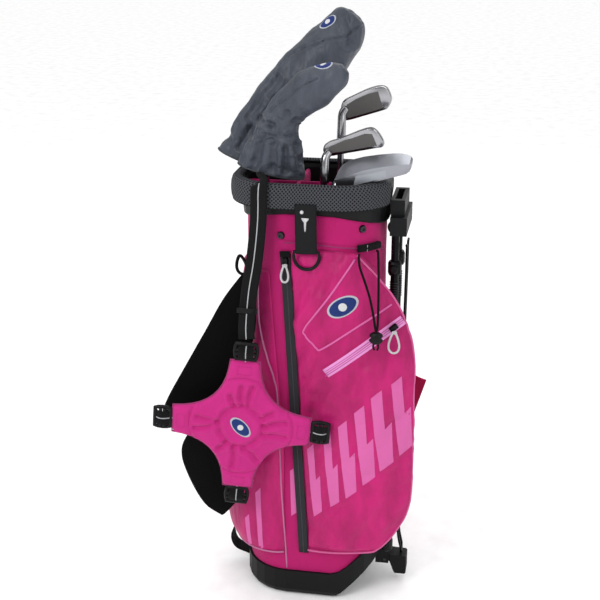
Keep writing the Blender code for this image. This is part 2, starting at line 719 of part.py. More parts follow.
def build_leg_strap():
    path = smooth_route(((0.0880, 0.0440, 0.2500), (0.1020, 0.0450, 0.2510), (0.1180, 0.0445, 0.2480),
                         (0.1320, 0.0420, 0.2430)), 3)
    add("leg_strap", ribbon(path, 0.036, 0.0025, Vector((0, 1, 0))), "strap_pink")


# ---------------------------------------------------------------- harness


def harness_place(x, z, out):
    """A point of the pad's own plane: x across, z up, out towards the front."""
    tilted = Matrix.Rotation(HARNESS_TILT, 3, "Y") @ Vector((x, -out, z))
    turned = Matrix.Rotation(HARNESS_TURN, 3, "Z") @ tilted
    return HARNESS_CENTRE + turned


def harness_outline(scale):
    """Four arms with straight ends, and hollow curves between them."""
    outline = []
    for arm in range(4):
        turn = Matrix.Rotation(-arm * math.pi / 2, 2)
        ahead = Matrix.Rotation(-(arm + 1) * math.pi / 2, 2)
        left = turn @ Vector((-ARM_HALF_WIDTH, ARM_REACH))
        right = turn @ Vector((ARM_HALF_WIDTH, ARM_REACH))
        nearest = ahead @ Vector((-ARM_HALF_WIDTH, ARM_REACH))
        hollow = (right + nearest) * 0.20
        outline.append(left)
        for step in range(6):
            t = step / 6
            outline.append(right * (1 - t) ** 2 + hollow * (2 * t * (1 - t)) + nearest * t * t)
    return [point * scale for point in outline]


def build_harness_pad():
    half = HARNESS_THICKNESS / 2
    layers = ((0.93, -half), (1.0, -half * 0.5), (1.0, half * 0.4), (0.94, half * 0.85), (0.55, half))
    rings = [[harness_place(p.x, p.y, out) for p in harness_outline(scale)] for scale, out in layers]
    add("harness_pad", skin(rings), "pad_pink")


def build_buckle(name, angle):
    """A ladder-lock buckle just past the end of one arm."""
    turn = Matrix.Rotation(-angle, 2)

    def place(x, y, depth):
        at = turn @ Vector((x, y + ARM_REACH + 0.0015))
        return harness_place(at.x, at.y, depth - 0.003)

    columns = (-0.0135, -0.0105, 0.0105, 0.0135)
    rows = (0.0, 0.003, 0.008, 0.013, 0.018, 0.022)
    add(name, grid_plate(columns, rows, {(1, 1), (1, 3)}, place, 0.006), "rubber")


def build_straps():
    upper = ((-0.0640, -0.0785, 0.5540), (-0.0640, -0.0795, 0.5350), (-0.0650, -0.0790, 0.5100),
             (-0.0665, -0.0800, 0.4700), (-0.0680, -0.0845, 0.4300), (-0.0695, -0.0945, 0.3930),
             (-0.0700, -0.1000, 0.3765))
    add("upper_strap", ribbon(smooth_route(upper, 2), 0.022, 0.0022, Vector((-0.35, -1, 0))), "webbing")
    shoulder = ((-0.0605, -0.0685, 0.4370), (-0.0705, -0.0700, 0.4020), (-0.0925, -0.0710, 0.3530),
                (-0.1230, -0.0730, 0.3030), (-0.1500, -0.0720, 0.2690))
    add("shoulder_strap", ribbon(smooth_route(shoulder, 3), 0.056, 0.006, Vector((-0.3, -1, 0.1))), "webbing")
    lower = ((-0.1400, -0.0690, 0.2360), (-0.1480, -0.0640, 0.2050), (-0.1500, -0.0620, 0.1800),
             (-0.1440, -0.0630, 0.1570), (-0.1330, -0.0700, 0.1370), (-0.1190, -0.0790, 0.1290))
    add("lower_shoulder_strap", ribbon(smooth_route(lower, 3), 0.044, 0.005, Vector((0, -1, 0.1))), "webbing")
    tail = ((-0.1110, 0.0100, 0.0690), (-0.1190, 0.0100, 0.0560), (-0.1200, 0.0100, 0.0400),
            (-0.1110, 0.0100, 0.0250), (-0.0940, 0.0100, 0.0170))
    add("lower_strap", ribbon(smooth_route(tail, 3), 0.022, 0.0022, Vector((-1, 0, 0.2))), "webbing")
    points = oval_loop(Vector((-0.0945, -0.0330, 0.4590)), Vector((-0.0955, -0.0330, 0.4360)), 0.0055)
    add("webbing_loop", skin(loop_rings(points, 0.0013), loop=True), "webbing")


# ---------------------------------------------------------------- clubs


def club_frame(name):
    """An empty at the club's butt whose +Z runs up the shaft."""
    butt, crossing = CLUB_LINES[name]
    along = (crossing - butt).normalized()
    front, side = frame_along(along, Vector((0, -1, 0)))
    turn = Matrix((side, -front, along)).transposed()
    empty = bpy.data.objects.new(name + "_axis", None)
    bpy.context.scene.collection.objects.link(empty)
    empty.matrix_basis = Matrix.Translation(butt) @ turn.to_4x4()
    return empty


def build_shaft_and_grip(name, frame, length):
    butt = frame.matrix_basis.translation
    along = frame.matrix_basis.to_3x3() @ Vector((0, 0, 1))
    steps = [0.0, 0.002, 0.060, GRIP_LENGTH]
    radii = [GRIP_RADIUS - 0.0015, GRIP_RADIUS, GRIP_RADIUS * 0.9, SHAFT_RADIUS + 0.0018]
    bore = SHAFT_RADIUS + GAP
    facing = frame.matrix_basis.to_3x3() @ Vector((0, -1, 0))
    centres = [*steps, GRIP_LENGTH, 0.004]
    sizes = [*radii, bore, bore]
    path = [butt + along * step for step in centres]
    rings = []
    for centre, radius in zip(path, sizes):
        side = along.cross(facing).normalized()
        front = side.cross(along)
        angles = [2 * math.pi * k / 12 for k in range(12)]
        rings.append([centre + (side * math.cos(a) + front * math.sin(a)) * radius for a in angles])
    add(name + "_grip", skin(rings), "grip", parent=frame)
    shaft = cylinder(butt + along * 0.0045, butt + along * length, SHAFT_RADIUS, 12, SHAFT_RADIUS * 0.95)
    add(name + "_shaft", shaft, "chrome", parent=frame)


DRIVER_COVER = (
    ((-0.0955, 0.0190, 0.5735), 0.0345, 0.0190), ((-0.0850, 0.0195, 0.6050), 0.0275, 0.0175),
    ((-0.0656, 0.0215, 0.6320), 0.0290, 0.0190), ((-0.0280, 0.0310, 0.6720), 0.0335, 0.0250),
    ((0.0030, 0.0400, 0.7000), 0.0325, 0.0280), ((0.0215, 0.0450, 0.7185), 0.0285, 0.0250),
    ((0.0365, 0.0480, 0.7340), 0.0185, 0.0170), ((0.0425, 0.0495, 0.7420), 0.0090, 0.0080),
)
HYBRID_COVER = (
    ((-0.0515, -0.0325, 0.5720), 0.0405, 0.0205), ((-0.0460, -0.0330, 0.5960), 0.0365, 0.0190),
    ((-0.0435, -0.0345, 0.6205), 0.0270, 0.0165), ((-0.0375, -0.0380, 0.6380), 0.0250, 0.0175),
    ((-0.0150, -0.0500, 0.6610), 0.0230, 0.0185), ((0.0090, -0.0600, 0.6740), 0.0215, 0.0175),
    ((0.0220, -0.0640, 0.6815), 0.0180, 0.0150), ((0.0310, -0.0655, 0.6870), 0.0095, 0.0080),
)
COVER_WALL = 0.0025
FRONT = Vector((0, -1, 0))


def build_cover(name, stations, frame):
    """A soft hood, closed at the crown and open at the hem."""
    path = [Vector(point) for point, _, _ in stations]
    outer = oval_rings(path, [(a, b) for _, a, b in stations], FRONT, 14)
    thin = [(a - COVER_WALL, b - COVER_WALL) for _, a, b in stations[:-1]]
    inner = oval_rings(path, thin, FRONT, 14)[: len(thin)]
    add(name + "_cover", skin([*reversed(inner), *outer]), "cover", parent=frame)


def build_wood_head(name, stations, frame, neck_length):
    """A hidden wood head: it fills the cover from the end of the shaft to the toe."""
    matrix = frame.matrix_basis
    along = matrix.to_3x3() @ Vector((0, 0, 1))
    neck = matrix.translation + along * neck_length
    path = [neck + along * (2 * GAP), neck + along * 0.016]
    sizes = [(0.0060, 0.0060), (0.0075, 0.0075)]
    for point, a, b in stations[3:-2]:
        path.append(Vector(point))
        sizes.append((a - 0.0105, b - 0.0095))
    add(name + "_head", skin(oval_rings(path, sizes, FRONT, 12)), "head_dark", parent=frame)


def iron_rings(length, toe_height, loft):
    """Sections from heel to toe. Each runs sole, back, cavity, top line and face."""
    rings = []
    stations = ((0.00, 0.60, 0.80), (0.12, 0.66, 0.95), (0.35, 0.76, 1.0), (0.60, 0.88, 1.0),
                (0.80, 0.98, 1.0), (0.92, 0.98, 0.92), (0.985, 0.84, 0.66), (1.0, 0.60, 0.40))
    for along, tall, wide in stations:
        height, sole = toe_height * tall, 0.017 * wide
        low = toe_height * (0.10 if along > 0.95 else 0.0)
        shape = ((0.0, low + 0.001), (0.003, low), (sole - 0.003, low + 0.0005), (sole, low + 0.003),
                 (sole * 0.92, low + 0.010), (sole * 0.45, low + 0.014), (0.0055, height - 0.006),
                 (0.0055, height - 0.001), (0.0035, height), (0.0005, height))
        turn = Matrix.Rotation(loft, 2)
        ring = []
        for depth, rise in shape:
            n, h = turn @ Vector((depth, rise))
            ring.append(Vector((along * length, n, h)))
        rings.append(ring)
    return rings


def head_matrix(frame, hosel_z, toe_turn, lie):
    """Head space to world: x heel to toe, z from the sole towards the grip."""
    turn = Matrix.Rotation(toe_turn, 4, "Z")
    lean = Matrix.Rotation(lie - math.pi / 2, 4, "Y")
    flip = Matrix.Diagonal((1, 1, -1, 1))
    return frame.matrix_basis @ Matrix.Translation((0, 0, hosel_z)) @ turn @ lean @ flip


def build_iron_head(name, frame, shaft_length, toe_turn, loft):
    """A cavity-back iron held sole up, joined to its hosel."""
    lie = math.radians(60)
    rings = iron_rings(0.061, 0.042, loft)
    matrix = head_matrix(frame, shaft_length + 0.036, toe_turn, lie)
    shift = Vector((-0.004, -0.004, 0.0))
    world = [[matrix @ (point + shift) for point in ring] for ring in rings]
    head = add(name + "_head", skin(world), "chrome", parent=frame)
    matrix = frame.matrix_basis
    start = matrix @ Vector((0, 0, shaft_length + 2 * GAP))
    end = matrix @ Vector((0, 0, shaft_length + 0.030))
    cut(head, name + "_hosel", cylinder(start, end, 0.0056, 16, 0.0062), "UNION")


PUTTER_HEAD = Vector((0.0315, -0.0420, 0.5680))


def build_putter_head(frame, shaft_length):
    """A heel-and-toe blade, sole up, with a plumber's neck to the shaft behind it."""
    toe = Vector((0.90, -0.02, 0.33)).normalized()
    up, across = frame_along(toe, Vector((0.0, -0.30, 1.0)))
    length, tall, deep = 0.092, 0.024, 0.019
    rings = []
    for along, scale in ((0.0, 0.72), (0.03, 0.93), (0.08, 1.0), (0.90, 1.0), (0.96, 0.93), (1.0, 0.70)):
        centre = PUTTER_HEAD + toe * (along * length)
        half_up, half_deep = tall / 2 * scale, deep / 2 * scale
        shape = ((-1, -0.8), (-0.8, -1), (0.85, -1), (1, -0.8), (1, 0.8), (0.85, 1), (-0.8, 1), (-1, 0.8))
        rings.append([centre + up * (half_up * i) + across * (half_deep * j) for i, j in shape])
    head = add("putter_head", skin(rings), "satin", parent=frame)
    matrix = frame.matrix_basis
    start = matrix @ Vector((0, 0, shaft_length + 2 * GAP))
    bend = matrix @ Vector((0, 0, shaft_length + 0.012))
    into = PUTTER_HEAD + toe * 0.014
    neck = oval_rings([start, bend, into], [(0.0050, 0.0050)] * 3, Vector((1, 0, 0)), 12)
    cut(head, "putter_neck", skin(neck), "UNION")


def build_clubs():
    lengths = {"driver": 0.590, "hybrid": 0.574, "iron": 0.588, "wedge": 0.543, "putter": 0.520}
    frames = {}
    for name, length in lengths.items():
        frames[name] = club_frame(name)
        build_shaft_and_grip(name, frames[name], length)
    build_cover("driver", DRIVER_COVER, frames["driver"])
    build_wood_head("driver", DRIVER_COVER, frames["driver"], lengths["driver"])
    build_cover("hybrid", HYBRID_COVER, frames["hybrid"])
    build_wood_head("hybrid", HYBRID_COVER, frames["hybrid"], lengths["hybrid"])
    build_iron_head("iron", frames["iron"], lengths["iron"], math.radians(2), math.radians(-34))
    build_iron_head("wedge", frames["wedge"], lengths["wedge"], math.radians(2), math.radians(-46))
    build_putter_head(frames["putter"], lengths["putter"])


clear_scene()
LOOKS = {
    "pink": material("pink_polyester", (0.60, 0.016, 0.19), 0.75),
    "pad_pink": material("pad_polyester", (0.68, 0.035, 0.28), 0.75),
    "light_pink": material("light_pink_tape", (0.85, 0.20, 0.50), 0.7),
    "strap_pink": material("strap_webbing", (0.55, 0.02, 0.15), 0.75),
    "base": material("base_plastic", (0.012, 0.012, 0.013), 0.45),
    "collar": material("collar_plastic", (0.03, 0.03, 0.032), 0.5),
    "mesh": material("spacer_mesh", (0.02, 0.02, 0.022), 0.85),
    "tab": material("tab_vinyl", (0.008, 0.008, 0.009), 0.5),
    "webbing": material("black_webbing", (0.012, 0.012, 0.013), 0.8),
    "rubber": material("black_acetal", (0.014, 0.014, 0.015), 0.45),
    "elastic": material("elastic_cord", (0.012, 0.012, 0.013), 0.75),
    "grip": material("grip_rubber", (0.02, 0.02, 0.02), 0.8),
    "leg": material("leg_paint", (0.012, 0.012, 0.013), 0.35, 0.6),
    "rod": material("stay_fibreglass", (0.75, 0.72, 0.62), 0.5),
    "steel": material("screw_steel", (0.30, 0.30, 0.31), 0.35, 1.0),
    "chrome": material("polished_steel", (0.62, 0.62, 0.63), 0.18, 1.0),
    "satin": material("satin_steel", (0.60, 0.60, 0.61), 0.35, 1.0),
    "head_dark": material("head_lacquer", (0.02, 0.02, 0.022), 0.25),
    "cover": material("cover_satin", (0.12, 0.13, 0.145), 0.6),
    "tape": material("zip_tape", (0.045, 0.045, 0.050), 0.8),
    "zip_metal": material("zip_slider", (0.02, 0.02, 0.02), 0.4, 0.5),
    "white": material("white_pull", (0.85, 0.85, 0.85), 0.55),
}
build_base()
build_sleeve()
build_collar()
build_collar_pad()
build_divider()
build_stays()
build_screws()
build_apparel_pocket()
build_side_pocket()
build_long_zip()
build_short_zip()
build_tab_and_ring()
build_towel_cord()
build_bracket()
build_leg(-1, "left")
build_leg(1, "right")
build_rocker()
build_actuator()
build_leg_strap()
build_harness_pad()
for buckle, quarter in (("buckle_top", 0), ("buckle_right", 1), ("buckle_bottom", 2), ("buckle_left", 3)):
    build_buckle(buckle, quarter * math.pi / 2)
build_straps()
build_clubs()
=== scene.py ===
"""Looks of the junior golf club set: fabric, trim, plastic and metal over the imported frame."""

import math

import bmesh
import bpy
import numpy as np
from mathutils import Matrix, Vector, noise
from mathutils.bvhtree import BVHTree


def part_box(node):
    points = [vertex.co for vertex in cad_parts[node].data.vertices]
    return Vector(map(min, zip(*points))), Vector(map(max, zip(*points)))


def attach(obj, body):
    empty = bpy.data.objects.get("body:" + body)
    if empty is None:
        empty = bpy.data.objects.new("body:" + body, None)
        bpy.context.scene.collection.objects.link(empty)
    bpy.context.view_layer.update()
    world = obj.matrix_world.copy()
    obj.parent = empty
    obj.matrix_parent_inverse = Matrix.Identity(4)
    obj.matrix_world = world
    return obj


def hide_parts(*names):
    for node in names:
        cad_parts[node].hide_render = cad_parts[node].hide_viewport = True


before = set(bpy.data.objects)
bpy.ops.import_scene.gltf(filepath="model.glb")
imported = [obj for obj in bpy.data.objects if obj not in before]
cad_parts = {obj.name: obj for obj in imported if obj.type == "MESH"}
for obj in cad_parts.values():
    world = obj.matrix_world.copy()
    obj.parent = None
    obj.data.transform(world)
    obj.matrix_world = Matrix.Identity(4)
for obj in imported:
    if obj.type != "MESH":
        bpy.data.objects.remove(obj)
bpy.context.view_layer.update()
FRONT = Vector((0, -1, 0))


# ---------------------------------------------------------------- camera, light and floor


def build_stage():
    scene = bpy.context.scene
    camera = bpy.data.objects.new("camera", bpy.data.cameras.new("camera"))
    camera.data.lens = 70.08
    camera.data.clip_start = 0.01
    camera.location = (0.2214, -1.3826, 0.900)
    camera.rotation_euler = (math.radians(90 - 19.8), 0, math.radians(10))
    scene.collection.objects.link(camera)
    scene.camera = camera
    scene.view_settings.view_transform = "Standard"

    world = bpy.data.worlds.new("studio")
    world.use_nodes = True
    tree = world.node_tree
    place = tree.nodes.new("ShaderNodeTexCoord")
    split = tree.nodes.new("ShaderNodeSeparateXYZ")
    height = tree.nodes.new("ShaderNodeMapRange")
    tree.links.new(place.outputs["Generated"], split.inputs[0])
    tree.links.new(split.outputs["Z"], height.inputs["Value"])
    for label, value in (("From Min", 0.05), ("From Max", 0.75), ("To Min", 0.22), ("To Max", 1.25)):
        height.inputs[label].default_value = value
    tree.links.new(height.outputs["Result"], tree.nodes["Background"].inputs["Strength"])
    tree.nodes["Background"].inputs["Color"].default_value = (1, 1, 1, 1)
    scene.world = world
    for name, place, size, power in (
        ("key", (-0.9, -1.6, 1.5), 0.8, 17),
        ("fill", (1.5, -1.3, 0.9), 1.2, 7),
        ("back", (0.4, 1.6, 1.8), 1.2, 8),
    ):
        lamp = bpy.data.lights.new(name, "AREA")
        lamp.size = size
        lamp.energy = power
        made = bpy.data.objects.new(name, lamp)
        made.location = place
        made.rotation_euler = (Vector(place) - Vector((0, 0, 0.35))).to_track_quat("Z", "Y").to_euler()
        scene.collection.objects.link(made)

    bm = bmesh.new()
    bmesh.ops.create_grid(bm, x_segments=2, y_segments=2, size=200)
    floor = mesh_piece("floor", bm, plastic("floor_paint", (0.95, 0.95, 0.95), 0.85, 0.0))


STRIPE_THICKNESS = 0.0005


# ---------------------------------------------------------------- mesh tools


def mesh_piece(name, bm, look, smooth=True):
    bmesh.ops.recalc_face_normals(bm, faces=bm.faces)
    mesh = bpy.data.meshes.new(name)
    bm.to_mesh(mesh)
    bm.free()
    mesh.materials.append(look)
    if smooth:
        mesh.shade_smooth()
    made = bpy.data.objects.new(name, mesh)
    bpy.context.scene.collection.objects.link(made)
    return made


def sharpen(piece, angle=35):
    piece.data.set_sharp_from_angle(angle=math.radians(angle))
    return piece


def quads(bm, rows, closed=True):
    """Faces between each row of corners and the next; closed rows join their last corner to the first."""
    for low, high in zip(rows, rows[1:]):
        for i in range(len(low) if closed else len(low) - 1):
            after = (i + 1) % len(low)
            bm.faces.new((low[i], low[after], high[after], high[i]))


def skin(rings, loop=False):
    """A closed body through rings, capped at both ends or joined into a loop."""
    bm = bmesh.new()
    rows = [[bm.verts.new(point) for point in ring] for ring in rings]
    if loop:
        rows.append(rows[0])
    else:
        bm.faces.new(rows[0])
        bm.faces.new(rows[-1])
    quads(bm, rows)
    return bm


def route(points, steps):
    """A Catmull-Rom curve through points, with steps spans between each two."""
    points = [Vector(point) for point in points]
    ends = [points[0] * 2 - points[1], *points, points[-1] * 2 - points[-2]]
    return [*through(ends, steps), points[-1]]


def closed_route(points, steps):
    points = [Vector(point) for point in points]
    return through([points[-1], *points, *points[:2]], steps)


def through(ends, steps):
    found = []
    for a, b, c, d in zip(ends, ends[1:], ends[2:], ends[3:]):
        for step in range(steps):
            t = step / steps
            found.append(
                b + (c - a) * (t / 2)
                + (a * 2 - b * 5 + c * 4 - d) * (t * t / 2)
                + (b * 3 - a - c * 3 + d) * (t ** 3 / 2)
            )
    return found


def turns(count):
    """Equal angles once round a circle."""
    return [2 * math.pi * k / count for k in range(count)]


def frame_along(tangent, facing):
    tangent = tangent.normalized()
    front = (facing - tangent * facing.dot(tangent)).normalized()
    return front, tangent.cross(front)


def tube(name, points, radius, look, loop=False, sides=8, facing=FRONT):
    """A round cord along points; radius may change along it."""
    count = len(points)
    rings = []
    for k, point in enumerate(points):
        ahead = points[(k + 1) % count] if loop else points[min(k + 1, count - 1)]
        behind = points[k - 1] if loop else points[max(k - 1, 0)]
        front, side = frame_along(ahead - behind, facing)
        size = radius(k / (count - 1)) if callable(radius) else radius
        rings.append([point + (side * math.cos(a) + front * math.sin(a)) * size for a in turns(sides)])
    return mesh_piece(name, skin(rings, loop), look)


def strap(name, points, width, thickness, look, facing=FRONT, crown=0.0, shift=0.0):
    """Flat webbing with rounded edges along points. crown swells its middle, shift slides it sideways."""
    shape = [(-1, 0), (-0.96, -0.8), (-0.8, -1), (-0.4, -1), (0, -1), (0.4, -1), (0.8, -1), (0.96, -0.8),
             (1, 0), (0.96, 0.8), (0.8, 1), (0.4, 1), (0, 1), (-0.4, 1), (-0.8, 1), (-0.96, 0.8)]
    last = len(points) - 1
    rings = []
    for k, point in enumerate(points):
        front, side = frame_along(points[min(k + 1, last)] - points[max(k - 1, 0)], facing)
        ring = []
        for across, out in shape:
            swell = thickness / 2 * out + crown * (1 - across * across) * (1 if out > 0 else 0)
            ring.append(point + side * (width / 2 * across + shift) + front * swell)
        rings.append(ring)
    return mesh_piece(name, skin(rings), look)


def striped_webbing(name, path, sizes, facing, lift, *nodes):
    """Webbing with a reflective stripe. sizes are its width and thickness and the stripe's width."""
    width, thickness, stripe = sizes
    settle(strap(f"{name}_web", path, width, thickness, LOOKS["webbing"], facing), "bag",
           "black_webbing", *nodes)
    lifted = [point + lift for point in path]
    settle(strap(f"{name}_stripe", lifted, stripe, STRIPE_THICKNESS, LOOKS["reflective"], facing),
           "bag", "black_webbing")


def tree_of(piece):
    """A search tree over the piece as it is drawn."""
    graph = bpy.context.evaluated_depsgraph_get()
    bpy.context.view_layer.update()
    return BVHTree.FromObject(piece, graph)


def drop_on(tree, point, toward=Vector((0, 1, 0)), lift=0.0):
    """Where a ray from in front of a point meets a surface, raised by lift."""
    start = Vector(point) - toward * 0.3
    hit, normal, _, _ = tree.ray_cast(start, toward)
    if hit is None:
        hit, normal, _, _ = tree.find_nearest(Vector(point))
    if normal.dot(toward) > 0:
        normal = -normal
    return hit + normal * lift


def on_front(tree, x, z, lift=0.0):
    return drop_on(tree, (x, -0.1, z), Vector((0, 1, 0)), lift)


def foremost(trees, x, z, lift):
    """The nearest to the front of several surfaces."""
    hits = [on_front(tree, x, z, lift) for tree in trees]
    return min((hit for hit in hits if abs(hit.x - x) < 0.004), key=lambda hit: hit.y)


def corners_grid(corners, across, up):
    """Rows of points inside four corners, given counter-clockwise."""
    a, b, c, d = (Vector(corner) for corner in corners)
    return [[a.lerp(b, i / across).lerp(d.lerp(c, i / across), j / up) for i in range(across + 1)]
            for j in range(up + 1)]


def patch(name, tree, corners, look, across=4, up=10, lift=0.00035, toward=Vector((0, 1, 0))):
    """A thin printed or heat-bonded patch that lies on a surface."""
    rows = corners_grid(corners, across, up)
    bm = bmesh.new()
    made = [[bm.verts.new(drop_on(tree, point, toward, lift)) for point in row] for row in rows]
    quads(bm, made, closed=False)
    return mesh_piece(name, bm, look)


def coordinates(piece):
    found = np.empty(len(piece.data.vertices) * 3)
    piece.data.vertices.foreach_get("co", found)
    return found.reshape(-1, 3)


def set_coordinates(piece, points):
    piece.data.vertices.foreach_set("co", points.reshape(-1))
    piece.data.update()


def vertex_normals(piece):
    found = np.empty(len(piece.data.vertices) * 3, dtype=np.float32)
    piece.data.vertex_normals.foreach_get("vector", found)
    return found.reshape(-1, 3).astype(float)


def bake(piece):
    """Replaces a piece's mesh by the one its modifiers make."""
    graph = bpy.context.evaluated_depsgraph_get()
    bpy.context.view_layer.update()
    mesh = bpy.data.meshes.new_from_object(piece.evaluated_get(graph))
    piece.modifiers.clear()
    piece.data = mesh
    mesh.shade_smooth()
    return piece


def subdivide(piece, levels=1):
    modifier = piece.modifiers.new("smooth", "SUBSURF")
    modifier.levels = levels
    modifier.render_levels = levels
    return bake(piece)


def remesh(piece, size):
    modifier = piece.modifiers.new("remesh", "REMESH")
    modifier.mode = "VOXEL"
    modifier.voxel_size = size
    return bake(piece)


def inflate(piece, pressure, cap, slack=0.0, pinned=None):
    """Fills a closed piece with air as cloth, and moves no point by more than cap."""
    start = coordinates(piece)
    cloth = piece.modifiers.new("cloth", "CLOTH")
    cloth.settings.quality = 5
    cloth.settings.mass = 0.2
    cloth.settings.tension_stiffness = 12
    cloth.settings.compression_stiffness = 12
    cloth.settings.shear_stiffness = 4
    cloth.settings.bending_stiffness = 0.15
    cloth.settings.use_pressure = True
    cloth.settings.uniform_pressure_force = pressure
    cloth.settings.effector_weights.gravity = 0
    cloth.settings.shrink_min = -slack
    cloth.collision_settings.use_collision = False
    cloth.point_cache.frame_end = 20
    if pinned is not None:
        group = piece.vertex_groups.new(name="pinned")
        group.add([int(index) for index in np.nonzero(pinned(start))[0]], 1.0, "REPLACE")
        cloth.settings.vertex_group_mass = "pinned"
    for step in range(1, 21):
        bpy.context.scene.frame_set(step)
    graph = bpy.context.evaluated_depsgraph_get()
    settled = piece.evaluated_get(graph).to_mesh()
    moved = np.empty(len(settled.vertices) * 3)
    settled.vertices.foreach_get("co", moved)
    piece.evaluated_get(graph).to_mesh_clear()
    piece.modifiers.clear()
    bpy.context.scene.frame_set(1)
    step = moved.reshape(-1, 3) - start
    length = np.linalg.norm(step, axis=1, keepdims=True)
    set_coordinates(piece, start + step * np.minimum(1, cap / np.maximum(length, 1e-9)))
    return piece


def line_distance(points, line):
    """Distance of each point from a broken line."""
    best = np.full(len(points), 1e9)
    for a, b in zip(line, line[1:]):
        a, b = np.array(a), np.array(b)
        span = b - a
        share = np.clip(((points - a) @ span) / max(span @ span, 1e-12), 0, 1)
        best = np.minimum(best, np.linalg.norm(points - a - share[:, None] * span, axis=1))
    return best


def press(piece, lines, depth, width, ridge, facing):
    """Sinks a piece along lines, as stitching and creases do, with a soft ridge on either side.

    Distances are measured square to facing, and only the side that faces that way is pressed.
    """
    facing = np.array(facing.normalized())
    points, normals = coordinates(piece), vertex_normals(piece)
    flat = points - np.outer(points @ facing, facing)
    move = np.zeros(len(points))
    for line in lines:
        flat_line = [np.array(point) - (np.array(point) @ facing) * facing for point in line]
        far = line_distance(flat, flat_line) / width
        move += -np.exp(-far ** 2) + ridge * np.exp(-((far - 1.9) ** 2) * 1.4)
    move = np.maximum(move, -1.15)
    seen = np.clip((normals @ facing - 0.05) / 0.35, 0, 1)
    set_coordinates(piece, points + normals * (move * depth * seen)[:, None])
    return piece


def ripple(piece, height, across, along, seed=0.0, mask=None):
    """Soft folds: noise that is short in one direction and long in the other."""
    points, normals = coordinates(piece), vertex_normals(piece)
    move = np.empty(len(points))
    for k, point in enumerate(points):
        move[k] = noise.noise(Vector((point @ across, point @ along, seed)))
    if mask is not None:
        move *= mask(points)
    set_coordinates(piece, points + normals * (move * height)[:, None])
    return piece


# ---------------------------------------------------------------- materials


# How much brighter than a white card an upright face looks in the studio's light.
STUDIO_GAIN = 1.45


def linear(red, green, blue):
    """The colour, 0 to 255, that a surface shows in the studio, as the values a shader takes."""
    return tuple(((value / 255 + 0.055) / 1.055) ** 2.4 / STUDIO_GAIN for value in (red, green, blue))


class Look:
    """A Principled material built up from procedural layers."""

    def __init__(self, name, roughness, metallic=0.0, sheen=0.0, gloss=0.5):
        self.material = bpy.data.materials.new(name)
        self.material.use_nodes = True
        self.tree = self.material.node_tree
        self.shader = self.tree.nodes["Principled BSDF"]
        self.shader.inputs["Roughness"].default_value = roughness
        self.shader.inputs["Metallic"].default_value = metallic
        self.shader.inputs["Sheen Weight"].default_value = sheen
        self.shader.inputs["Sheen Roughness"].default_value = 0.45
        self.shader.inputs["Specular IOR Level"].default_value = gloss
        self.place = self.tree.nodes.new("ShaderNodeTexCoord").outputs["Object"]
        self.normal = None

    def feed(self, socket, value):
        if isinstance(value, bpy.types.NodeSocket):
            self.tree.links.new(value, socket)
        else:
            socket.default_value = value

    def maths(self, operation, *values):
        node = self.tree.nodes.new("ShaderNodeMath")
        node.operation = operation
        for socket, value in zip(node.inputs, values):
            self.feed(socket, value)
        return node.outputs[0]

    def axes(self):
        node = self.tree.nodes.new("ShaderNodeSeparateXYZ")
        self.feed(node.inputs[0], self.place)
        return node.outputs

    def around(self, radius):
        """Distance round the bag from the middle of its front."""
        x, y, _ = self.axes()
        angle = self.maths("ARCTAN2", x, self.maths("MULTIPLY", y, -1.0))
        return self.maths("MULTIPLY", angle, radius)

    def waves(self, value, pitch):
        return self.maths("SINE", self.maths("MULTIPLY", value, 2 * math.pi / pitch))

    def noise(self, scale, detail=3.0, stretch=(1, 1, 1), lean=0.0):
        """Noise, drawn out along the axes with a small stretch, after a turn about Y by lean."""
        mapping = self.tree.nodes.new("ShaderNodeMapping")
        self.feed(mapping.inputs["Vector"], self.place)
        mapping.inputs["Rotation"].default_value = (0, lean, 0)
        mapping.inputs["Scale"].default_value = stretch
        node = self.tree.nodes.new("ShaderNodeTexNoise")
        node.inputs["Scale"].default_value = scale
        node.inputs["Detail"].default_value = detail
        self.feed(node.inputs["Vector"], mapping.outputs[0])
        return node.outputs["Fac"]

    def colour(self, low, high, share):
        node = self.tree.nodes.new("ShaderNodeMix")
        node.data_type = "RGBA"
        self.feed(node.inputs[0], share)
        node.inputs[6].default_value = (*low, 1)
        node.inputs[7].default_value = (*high, 1)
        self.feed(self.shader.inputs["Base Color"], node.outputs[2])

    def rough(self, low, high, share):
        node = self.tree.nodes.new("ShaderNodeMapRange")
        self.feed(node.inputs["Value"], share)
        node.inputs["To Min"].default_value = low
        node.inputs["To Max"].default_value = high
        self.feed(self.shader.inputs["Roughness"], node.outputs["Result"])

    def bump(self, height, distance):
        node = self.tree.nodes.new("ShaderNodeBump")
        node.inputs["Distance"].default_value = distance
        self.feed(node.inputs["Height"], height)
        if self.normal is not None:
            self.feed(node.inputs["Normal"], self.normal)
        self.normal = node.outputs["Normal"]
        self.feed(self.shader.inputs["Normal"], self.normal)


def shades(colour, spread):
    return tuple(tuple(value * scale for value in colour) for scale in (1 - spread, 1 + spread))


def fabric(name, colour, pitch=0.0012, wrap=0.0, sheen=0.10, roughness=0.75, spread=0.10, gloss=0.15):
    """Woven cloth: a plain weave, soft mottling and a little sheen."""
    look = Look(name, roughness, sheen=sheen, gloss=gloss)
    x, y, z = look.axes()
    across = look.around(wrap) if wrap else look.maths("ADD", x, y)
    weave = look.maths("MULTIPLY", look.waves(across, pitch), look.waves(z, pitch))
    cloud = look.noise(30, 4)
    share = look.maths("ADD", cloud, look.maths("MULTIPLY", weave, 0.12))
    look.colour(*shades(colour, spread), share)
    look.bump(weave, 0.00012)
    look.bump(look.noise(420, 2), 0.00020)
    return look.material


